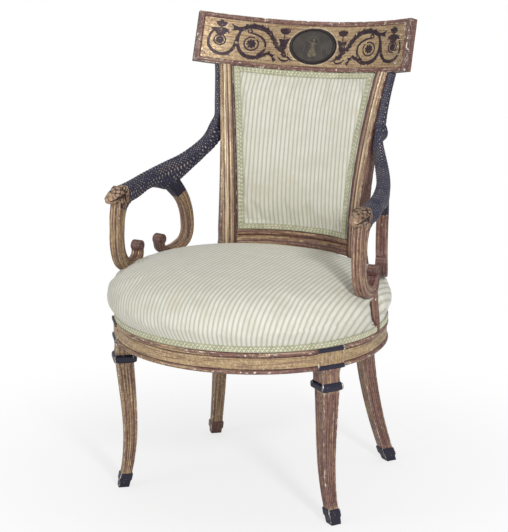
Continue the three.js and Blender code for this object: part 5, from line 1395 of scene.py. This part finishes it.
def notch_limit(p, z):
    """How far out from the middle the cushion may reach, so that it clears the uprights and posts."""
    p = np.stack([np.abs(p[:, 0]), p[:, 1]], -1)
    way = p / np.maximum(np.linalg.norm(p, axis=1, keepdims=True), 1e-6)
    at = upright_at(z + 0 * p[:, 0])
    front, t, n = at["front"][:, :2], at["t"][:, :2], at["n"][:, :2]
    aside = np.abs(((p - front) * t).sum(1))
    reach = (front * n).sum(1) / np.maximum((way * n).sum(1), 0.2)
    wall = smooth(aside, at["width"] / 2 - 1.0, at["width"] / 2 + 6)
    limit = np.where(p[:, 1] > 0, reach - 1.6 + wall * 60, 999.0)
    x = np.interp(z, [355, 366, 380, 410, 434, 450], [266.0, 265.4, 263.8, 260.2, 257.6, 256.5])
    half = np.interp(z, [355, 410, 450], [6.0, 6.9, 8.2])
    ahead = POST_Y - half - p[:, 1]
    # The cloth is drawn in for some way before each post, and swells out close behind it
    drawn = np.where(ahead > 0, 0.40 * np.maximum(ahead - 1, 0), 3.0 * np.maximum(-ahead - 2 * half - 0.5, 0))
    narrow = 60 * smooth(np.abs(p[:, 1] - POST_Y), half + 0.5, half + 9)
    low = np.minimum(narrow, np.maximum(drawn, 8.8))
    room = mix(mix(low, drawn, share(z, 371, 380)), narrow, smooth(z, 416, 436))
    return np.minimum(limit, x - half - 1.4 + room)


def cushion_ring(angles, out, z, scale=1.0, spread=0.0):
    p = (seat_point(angles) + out * seat_normal(angles)) * scale - [CUSHION_LEAN * smooth(z, 358, 386), 0, 0]
    limit = notch_limit(p, z) - spread
    radius = np.linalg.norm(p[:, :2], axis=1)
    p = p * (np.minimum(radius, limit) / radius)[:, None]
    return p + [0, 0, z]


def dome_height(rho, crown):
    return WIDEST + (crown - WIDEST) * (1 - rho ** 3.7) ** 0.41667


def seat_cushion():
    side = 76
    axis = np.linspace(-1, 1, side + 1)
    u, v = np.meshgrid(axis, axis, indexing="ij")
    q = np.maximum(np.abs(u), np.abs(v))
    safe = np.where(q == 0, 1, q)
    first = np.abs(u) >= np.abs(v)
    theta = np.where(first, math.pi / 4 * v / np.where(u == 0, 1, u), math.pi / 2 - math.pi / 4 * u / np.where(v == 0, 1, v))
    theta = np.where(first & (u < 0), theta + math.pi, theta)
    theta = np.where(~first & (v < 0), theta + math.pi, theta)
    angle = np.degrees(theta).ravel() % 360
    rho = (1 - (1 - q) ** 1.6).ravel()
    crown = CROWN - 1.5
    z = dome_height(rho, crown)
    base = seat_point(angle) + BULGE * seat_normal(angle)
    p = base * rho[:, None] - [CUSHION_LEAN, 0, 0]
    limits = np.where(rho > 0.6, notch_limit(p, z), 999.0)
    radius = np.linalg.norm(p[:, :2], axis=1)
    p = p * (np.minimum(radius, limits) / np.maximum(radius, 1e-6))[:, None]
    top = p + np.stack([0 * z, 0 * z, z], -1)
    count = side + 1
    index = np.arange(count * count).reshape(count, count)
    faces = grid_faces(count, count)
    rim = np.concatenate([index[-1, :-1], index[::-1, -1][:-1], index[0, ::-1][:-1], index[:-1, 0]])
    rim_angle = angle[rim]
    points = [top]
    way = unit(base[:, :2])
    arcs = [arc_on_dome(rho, radius, z, crown)]
    flats = [pulled(p, way * arcs[0][:, None])]
    start = len(top)
    previous = rim
    rim_way = way[rim]
    length = arcs[0][rim]
    before = top[rim]
    for out, level in CUSHION_SIDE[1:]:
        ring = cushion_ring(rim_angle, out, level)
        here = start + np.arange(len(rim))
        faces += np.stack([previous, np.roll(previous, -1), np.roll(here, -1), here], -1).tolist()
        length = length + np.linalg.norm(ring - before, axis=1)
        flats.append(pulled(ring, rim_way * length[:, None]))
        points.append(ring)
        previous, before = here, ring
        start += len(rim)
    # The underside takes the pattern of the top, drawn in to the last ring
    below = np.arange(count * count) + start
    inner = np.setdiff1d(index.ravel(), rim)
    below[inner] = start + np.arange(len(inner))
    below[rim] = previous
    faces += [[int(below[i]) for i in f[::-1]] for f in grid_faces(count, count)]
    last = seat_point(angle[inner]) * rho[inner, None] * 0.985
    points.append(last + [0, 0, CUSHION_SIDE[-1][1]])
    flats.append(last)
    points = np.concatenate(points)
    marks = {"cloth": np.concatenate(flats) * MM}
    piece = build("seat_cushion", points, faces, SILK,
                  ("seat_cover", "seat_stuffing", "seat_base_cloth"), marks, sharp=0, turn=False)
    face_out(piece)
    held = np.clip((392 - points[:, 2]) / 10, 0, 1)
    tight = np.minimum(radius_room(points) / 14, 1)
    held = np.maximum(held, 1 - tight)
    swell(piece, held, 2.0, 2.4)
    finish_soft(piece)


def pulled(place, spread):
    """Places on the flat cloth: between straight above the seat and rolled down from its crown."""
    flat = mix(place[:, :2], spread, 0.42)
    return np.concatenate([flat, np.zeros((len(flat), 1))], 1)


def radius_room(points):
    """How far places on the cushion lie from the posts and uprights, in millimetres."""
    x, y, z = np.abs(points[:, 0]), points[:, 1], points[:, 2]
    at = upright_at(z)
    from_stile = np.hypot(x - at["front"][:, 0], y - at["front"][:, 1]) - at["width"] / 2
    return np.clip(np.minimum(from_stile, np.hypot(x - 260, y - POST_Y) - 6), 0, 99)


def arc_on_dome(rho, radius, z, crown):
    """The length of cloth from the crown to places on the dome."""
    steps = np.linspace(0, 1, 400) ** 0.4
    heights = dome_height(steps, crown)
    run = np.concatenate([[0], np.cumsum(np.hypot(np.diff(steps * 265), np.diff(heights)))])
    full = np.interp(rho, steps, run)
    return full * np.where(rho > 0, radius / np.maximum(rho, 1e-6) / 265, 1)


def face_out(piece):
    mesh = piece.data
    mesh.validate()
    import bmesh
    work = bmesh.new()
    work.from_mesh(mesh)
    bmesh.ops.recalc_face_normals(work, faces=work.faces)
    work.to_mesh(mesh)
    work.free()


def swell(piece, held, pressure, cap):
    """Fills a closed piece by cloth simulation; held pins each vertex from 0 to 1, cap is the most it may move."""
    mesh = piece.data
    count = len(mesh.vertices)
    start = np.empty(count * 3)
    mesh.vertices.foreach_get("co", start)
    group = piece.vertex_groups.new(name="held")
    for i, weight in enumerate(held):
        if weight > 0:
            group.add([i], float(weight), "REPLACE")
    cloth = piece.modifiers.new("fill", "CLOTH")
    s = cloth.settings
    s.quality = 4
    s.mass = 0.3
    s.tension_stiffness = 25
    s.compression_stiffness = 12
    s.shear_stiffness = 8
    s.bending_stiffness = 1.2
    s.use_pressure = True
    s.uniform_pressure_force = pressure
    s.effector_weights.gravity = 0
    s.vertex_group_mass = "held"
    s.shrink_min = -0.02
    cloth.point_cache.frame_start = 1
    cloth.point_cache.frame_end = 20
    for number in range(1, 21):
        SCENE.frame_set(number)
    solved = piece.evaluated_get(bpy.context.evaluated_depsgraph_get())
    moved = np.empty(count * 3)
    solved.data.vertices.foreach_get("co", moved)
    piece.modifiers.remove(cloth)
    piece.vertex_groups.clear()
    SCENE.frame_set(1)
    shift = (moved - start).reshape(-1, 3)
    far = np.linalg.norm(shift, axis=1, keepdims=True)
    shift *= np.minimum(1, cap * MM / np.maximum(far, 1e-9))
    mesh.vertices.foreach_set("co", (start.reshape(-1, 3) + shift).ravel())
    mesh.update()


def finish_soft(piece):
    piece.modifiers.new("smooth", "SUBSURF").levels = 1
    piece.modifiers["smooth"].render_levels = 1


def back_swell(across, rise):
    side = np.minimum(np.abs(across) / 0.88, 1)
    end = np.minimum(np.abs(2 * rise - 1) / 0.91, 1)
    return 15.0 * (1 - side ** 3) * (1 - end ** 4)


def back_pad():
    columns = np.sin(np.linspace(-1, 1, 76) * math.pi / 2 * 0.8) / math.sin(math.pi / 2 * 0.8)
    rows = 0.5 + 0.5 * np.sin(np.linspace(-1, 1, 70) * math.pi / 2 * 0.8) / math.sin(math.pi / 2 * 0.8)
    a, r = np.meshgrid(columns, rows, indexing="ij")
    front = back_point(a, r, 0.6 - back_swell(a, r) * 0.95, 0.6, 1.4)
    rear = back_point(a, r, 14.0, 0.6, 1.4)
    nx, nz = len(columns), len(rows)
    points = np.concatenate([front.reshape(-1, 3), rear.reshape(-1, 3)])
    faces = grid_faces(nx, nz) + [f[::-1] for f in grid_faces(nx, nz, nx * nz)]
    index = np.arange(nx * nz).reshape(nx, nz)
    loop = np.concatenate([index[:, 0], index[-1, 1:], index[::-1, -1][1:], index[0, ::-1][1:-1]])
    after = np.roll(loop, -1)
    faces += np.stack([loop, loop + nx * nz, after + nx * nz, after], -1).tolist()
    flat = np.stack([points[:, 0], points[:, 2], 0 * points[:, 0]], -1)
    length = []
    for j in range(nz):
        row = front[:, j]
        run = np.concatenate([[0], np.cumsum(np.linalg.norm(np.diff(row, axis=0), axis=1))])
        length.append(run - run[-1] / 2)
    length = np.array(length).T
    flat[:nx * nz, 0] = length.ravel()
    flat[nx * nz:, 0] = length.ravel()
    piece = build("back_pad", points, faces, SILK,
                  ("back_cover", "back_stuffing", "back_base_cloth"), {"cloth": flat * MM}, sharp=0, turn=False)
    face_out(piece)
    edge = np.minimum(1 - np.abs(a), 1 - np.abs(2 * r - 1))
    held = np.concatenate([np.clip((0.1 - edge) / 0.05, 0, 1).ravel(), np.ones(nx * nz)])
    swell(piece, held, 2.4, 3.0)
    finish_soft(piece)


def braid(u, v):
    """The relief of a braided gimp, along in millimetres and across from -1 to 1: height, strand marks, and the height
    again for the painted shade between the strands.
    """
    period = 8.4
    wave = np.sin(2 * math.pi * u / period)
    height = np.full(u.shape, 0.15)
    strand = np.zeros(u.shape)
    for k, sign in enumerate((1, -1)):
        centre = 0.52 * sign * wave
        d = (v - centre) / 0.30
        over = 0.25 * sign * np.cos(2 * math.pi * u / period)
        ridge = np.sqrt(np.maximum(1 - d * d, 0)) * (0.85 + over)
        strand = np.where(ridge > height, k, strand)
        height = np.maximum(height, ridge)
    for sign in (1, -1):
        centre = sign * (0.84 + 0.06 * np.cos(4 * math.pi * u / period))
        d = (v - centre) / 0.17
        twist = 0.12 * np.sin(2 * math.pi * (u * 1.1 + v * 2 * sign))
        ridge = np.sqrt(np.maximum(1 - d * d, 0)) * (0.8 + twist)
        strand = np.where(ridge > height, 0.0 if sign > 0 else 0.2, strand)
        height = np.maximum(height, ridge)
    return height, strand, height


def gimp_piece(name, base, across, outward, run, nodes, closed=False, thick=2.2):
    """A braided strip: base is its middle line, across its half width vector and outward its proud direction."""
    v = np.linspace(-1, 1, 17)
    height, strand, gap_shade_height = braid(run[:, None] + 0 * v[None], v[None] + 0 * run[:, None])
    lift = 0.5 + height * (thick - 0.7)
    front = base[:, None] + v[None, :, None] * across[:, None] + lift[..., None] * outward[:, None]
    edge = v[[-1, 0]]
    rear = base[:, None] + edge[None, :, None] * across[:, None] + 0 * outward[:, None]
    points = np.concatenate([front, rear], 1)
    count = points.shape[1]
    marks = {"strand": np.concatenate([strand, strand[:, :2] * 0], 1).ravel(),
             "gap_shade_height": np.concatenate([gap_shade_height, gap_shade_height[:, :2] * 0 + 0.5], 1).ravel()}
    return build(name, points, loft_faces(len(points), count, closed), GIMP, nodes, marks, sharp=0)


def seat_gimp():
    post_gap = math.degrees(6.6 / SEAT_HALF)
    post_angle = 90 + math.degrees(math.asin(POST_Y / SEAT_BACK))
    leg_gap = math.degrees(17.6 / 272)
    spans = [("seat_gimp_front", -post_angle + post_gap * 1.5, post_angle - post_gap * 1.5),
             ("seat_gimp_side_right", post_angle + post_gap, REAR_ANGLE - leg_gap),
             ("seat_gimp_rear", REAR_ANGLE + leg_gap, 360 - REAR_ANGLE - leg_gap),
             ("seat_gimp_side_left", 360 - REAR_ANGLE + leg_gap, 360 - post_angle - post_gap)]
    # The posts are a little wider than the solids' posts, so the braid stops earlier in front of them
    for name, start, end in spans:
        fine = np.linspace(start, end, 2000)
        line = seat_point(fine) - 2.3 * seat_normal(fine)
        rows, run = resample(np.concatenate([line, fine[:, None]], 1), 0.85)
        base = seat_point(rows[:, 3]) - 2.3 * seat_normal(rows[:, 3]) + [0, 0, 361.1]
        across = np.tile([0, 0, 5.7], (len(rows), 1))
        gimp_piece(name + "_piece", base, across, seat_normal(rows[:, 3]), run, (name,))


def back_gimp():
    near, far = 1.2, 12.7
    span = np.linspace(-1, 1, 60)
    stations = [(a, 0.0) for a in span[:-1]] + [(1.0, r) for r in (span[:-1] + 1) / 2]
    stations += [(-a, 1.0) for a in span[:-1]] + [(-1.0, 1 - r) for r in (span[:-1] + 1) / 2]
    a, r = np.array(stations).T
    inner, outer = back_point(a, r, -0.8, far, far), back_point(a, r, -0.8, near, near)
    face = back_point(a, r, -1.8, near, near) - outer
    rows = np.concatenate([(inner + outer) / 2, (inner - outer) / 2, face], 1)
    rows, run = resample(np.vstack([rows, rows[:1]]), 0.85)
    rows, run = rows[:-1], run[:-1]
    run = run * (round(run[-1] / 8.4) * 8.4 / (run[-1] + 0.85))
    gimp_piece("back_gimp_piece", rows[:, :3], rows[:, 3:6], unit(rows[:, 6:9]), run, ("back_gimp",), closed=True)


def sheet_piece(name, front, rear, flat, material, nodes):
    rows, count = front.shape[:2]
    points = np.concatenate([front.reshape(-1, 3), rear.reshape(-1, 3)])
    faces = grid_faces(rows, count) + [f[::-1] for f in grid_faces(rows, count, rows * count)]
    index = np.arange(rows * count).reshape(rows, count)
    loop = np.concatenate([index[:, 0], index[-1, 1:], index[::-1, -1][1:], index[0, ::-1][1:-1]])
    after = np.roll(loop, -1)
    faces += np.stack([loop, loop + rows * count, after + rows * count, after], -1).tolist()
    piece = build(name, points, faces, material, nodes, {"cloth": np.concatenate([flat, flat]) * MM},
                  sharp=45, turn=False)
    face_out(piece)
    return piece


def outside_back():
    columns, rows = np.linspace(-1, 1, 60), np.linspace(0, 1, 60)
    a, r = np.meshgrid(columns, rows, indexing="ij")
    puff = 1.6 * (1 - np.abs(a) ** 6) * (1 - np.abs(2 * r - 1) ** 6)
    rear, front = back_point(a, r, 20.0 + puff, 0.6, 1.5), back_point(a, r, 19.0 + puff, 0.6, 1.5)
    flat = np.stack([rear[..., 0], rear[..., 2], 0 * rear[..., 0]], -1).reshape(-1, 3)
    piece = sheet_piece("outside_back_cloth", front, rear, flat, SILK, ("outside_back_cover",))


def bottom_cloth():
    angles = np.linspace(0, 360, 180, endpoint=False)
    shares = np.concatenate([[0.02], np.linspace(0.08, 1, 22)])
    sag = lambda q: -3.0 * (1 - q * q)
    rings = []
    inner_leg = FRONT_HEAD["centre"][:2] - 43.5 * FRONT_HEAD["n"][:2]
    for q in shares:
        p = (seat_point(angles) - 8 * seat_normal(angles)) * q
        for sign in (1, -1):
            n = FRONT_HEAD["n"][:2] * [sign, 1]
            front = FRONT_HEAD["centre"][:2] * [sign, 1]
            t = FRONT_HEAD["t"][:2] * [sign, 1]
            aside = np.abs((p[:, :2] - front) @ t)
            depth = (p[:, :2] - front) @ n
            over = np.maximum(depth + 44, 0) * (aside < 24)
            p[:, :2] -= over[:, None] * n
            back = upright_at(313.0)
            front = back["front"][:2] * [sign, 1]
            n, t = back["n"][:2] * [sign, 1], back["t"][:2] * [sign, 1]
            aside = np.abs((p[:, :2] - front) @ t)
            depth = (p[:, :2] - front) @ n
            over = np.maximum(depth + 1.5, 0) * (aside < back["width"] / 2 + 1.5)
            p[:, :2] -= over[:, None] * n
        rings.append(p + [0, 0, 312.4 + sag(q)])
    rings = np.array(rings)
    lower = rings - [0, 0, 0.8]
    points = np.concatenate([lower, rings[::-1]])
    faces = loft_faces(len(points), len(angles))
    flat = points.reshape(-1, 3) * [1, 1, 0]
    piece = build("bottom_cloth", points, faces, BLACK_LINEN, ("seat_bottom_cloth",),
                  {"cloth": flat * MM}, sharp=60)


def strap(points_line, across, lift, thick=1.4):
    """One webbing strap along a line, raised by the lift it is given."""
    v = np.linspace(-1, 1, 7)
    top = points_line[:, None] + v[None, :, None] * across[:, None] + (lift + thick / 2)
    low = points_line[:, None] + v[None, ::-1, None] * across[:, None] + (lift - thick / 2)
    return np.concatenate([top, low], 1)


def webbing_mesh(name, straps, flats, nodes):
    points, faces, cloth, start = [], [], [], 0
    for shape, flat in zip(straps, flats):
        rows, count = shape.shape[:2]
        own = loft_faces(rows, count)
        if volume_sign(shape.reshape(-1, 3) - shape.reshape(-1, 3).mean(0), own) < 0:
            own = [f[::-1] for f in own]
        faces += [[i + start for i in f] for f in own]
        points.append(shape.reshape(-1, 3))
        cloth.append(flat.reshape(-1, 3))
        start += rows * count
    return build(name, np.concatenate(points), faces, JUTE, nodes,
                 {"cloth": np.concatenate(cloth) * MM}, sharp=50)


def webbings():
    straps, flats = [], []
    pitch, up = 100.0, np.array([0, 0, 1.0])
    v = np.linspace(-1, 1, 7)
    for turn in (0, 1):
        for k in range(4):
            place = (k - 1.5) * pitch
            wide, long = (SEAT_HALF, SEAT_FRONT) if turn == 0 else (SEAT_FRONT, SEAT_HALF)
            reach = (long - 12) * math.sqrt(1 - ((abs(place) + 25) / (wide - 8)) ** 2)
            s = np.linspace(-reach, reach, 90)
            phase = (-1) ** (k + turn)
            wave = 0.9 * np.sin(math.pi * (s / pitch)) * phase
            zeros = np.zeros_like(s)
            line = np.stack([zeros + place, s, zeros + 375.2], -1) if turn == 0 else np.stack([s, zeros + place, zeros + 375.2], -1)
            across = np.tile([25.0, 0, 0] if turn == 0 else [0, 25.0, 0], (len(s), 1))
            lift = wave[:, None, None] * up
            top = line[:, None] + v[None, :, None] * across[:, None] + lift + 0.6 * up
            low = line[:, None] + v[None, ::-1, None] * across[:, None] + lift - 0.6 * up
            straps.append(np.concatenate([top, low], 1))
            f = np.stack(np.broadcast_arrays(np.concatenate([v, v[::-1]])[None] * 25, s[:, None], 0.0), -1)
            flats.append(f)
    webbing_mesh("seat_webbing_piece", straps, flats, ("seat_webbing",))
    straps, flats = [], []
    for a in (-0.75, -0.25, 0.25, 0.75):
        rows = np.linspace(0.01, 0.99, 60)
        straps.append(back_strap([(a, r) for r in rows], 0.13, 0.0, (-1) ** round(a * 2 + 0.5)))
        flats.append(strap_flat(rows * 330))
    for r in (0.1, 0.36, 0.64, 0.9):
        columns = np.linspace(-0.98, 0.98, 60)
        straps.append(back_strap([(a, r) for a in columns], 0.0, 0.07, 1))
        flats.append(strap_flat(columns * 150))
    webbing_mesh("back_webbing_piece", straps, flats, ("back_webbing",))


def strap_flat(run):
    v = np.linspace(-1, 1, 7)
    return np.stack(np.broadcast_arrays(np.concatenate([v, v[::-1]])[None] * 22, run[:, None], 0.0), -1)


def back_strap(stations, half_across, half_rise, phase):
    a, r = np.array(stations).T[..., None]
    wave = 0.7 * np.sin(np.arange(len(a)) / len(a) * 4 * math.pi)[:, None] * phase
    v = np.linspace(-1, 1, 7)
    v, deep = np.concatenate([v, v[::-1]]), np.repeat([15.6, 16.8], len(v))
    across, rise = np.clip(a + v * half_across, -1, 1), np.clip(r + v * half_rise, 0, 1)
    return back_point(across, rise, deep + wave, 1, 3)


# Kept solids of the frame get their finish


def finish_kept():
    for name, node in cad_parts.items():
        material = None
        if "screw" in name:
            material = STEEL
        elif "block" in name:
            material = RAW
        if material:
            for slot in node.material_slots:
                slot.material = material


seat_frame()
front_leg()
rear_upright()
back_rail()
crest()
medallion()
serpent()
scrolls()
seat_cushion()
back_pad()
seat_gimp()
back_gimp()
outside_back()
bottom_cloth()
webbings()
finish_kept()

# Floor and lights


def stage_plane(name, size, place, colour):
    """A pale floor, near white to the camera, so that only a faint shadow shows on it."""
    p = Paint(name, roughness=0.9)
    soft = p.noise(2.0, 2, 0.5)
    p.colour(p.mix(p.steps(soft, 0.3, 0.7), colour, tuple(0.985 * c for c in colour[:3]) + (1.0,)))
    away = p.node("ShaderNodeVectorMath", operation="LENGTH")
    p.plug(p.place, away.inputs[0])
    paper = p.steps(away.outputs["Value"], 0.25, 0.95, 0.72, 1.0)
    seen = p.math("MULTIPLY", paper, p.node("ShaderNodeLightPath").outputs["Is Camera Ray"])
    glow = p.node("ShaderNodeEmission")
    glow.inputs["Color"].default_value = (1, 1, 1, 1)
    blend = p.node("ShaderNodeMixShader")
    p.plug(seen, blend.inputs[0])
    p.tree.links.new(p.shader.outputs[0], blend.inputs[1])
    p.tree.links.new(glow.outputs[0], blend.inputs[2])
    p.tree.links.new(blend.outputs[0], p.tree.nodes["Material Output"].inputs["Surface"])
    mesh = bpy.data.meshes.new(name)
    s = size / 2
    mesh.from_pydata([(-s, -s, 0), (s, -s, 0), (s, s, 0), (-s, s, 0)], [], [(0, 1, 2, 3)])
    mesh.materials.append(p.material)
    plane = bpy.data.objects.new(name, mesh)
    plane.location = place
    SCENE.collection.objects.link(plane)


def area_light(name, place, target, size, power, colour=(1, 1, 1)):
    data = bpy.data.lights.new(name, "AREA")
    data.shape = "DISK"
    data.size = size
    data.energy = power
    data.color = colour
    light = bpy.data.objects.new(name, data)
    way = Vector(target) - Vector(place)
    light.rotation_euler = way.to_track_quat("-Z", "Y").to_euler()
    light.location = place
    SCENE.collection.objects.link(light)


def make_world():
    world = bpy.data.worlds.new("studio")
    SCENE.world = world
    world.use_nodes = True
    tree = world.node_tree
    tree.nodes.clear()
    rays = tree.nodes.new("ShaderNodeLightPath")
    lit = tree.nodes.new("ShaderNodeBackground")
    lit.inputs["Color"].default_value = (1, 1, 1, 1)
    lit.inputs["Strength"].default_value = 0.48
    seen = tree.nodes.new("ShaderNodeBackground")
    seen.inputs["Color"].default_value = (1, 1, 1, 1)
    seen.inputs["Strength"].default_value = 1.0
    pick = tree.nodes.new("ShaderNodeMixShader")
    tree.links.new(rays.outputs["Is Camera Ray"], pick.inputs[0])
    tree.links.new(lit.outputs[0], pick.inputs[1])
    tree.links.new(seen.outputs[0], pick.inputs[2])
    out = tree.nodes.new("ShaderNodeOutputWorld")
    tree.links.new(pick.outputs[0], out.inputs[0])


stage_plane("floor", 14, (0, 0, -0.0005), (0.93, 0.93, 0.93, 1.0))
area_light("key", (1.95, -2.0, 1.85), (0, 0, 0.5), 0.42, 48)
area_light("fill", (-2.0, -2.8, 1.3), (0, 0, 0.45), 2.2, 30)
area_light("top", (0.1, 0.2, 3.0), (0, 0, 0.4), 2.4, 7)
make_world()
SCENE.view_settings.view_transform = "Standard"
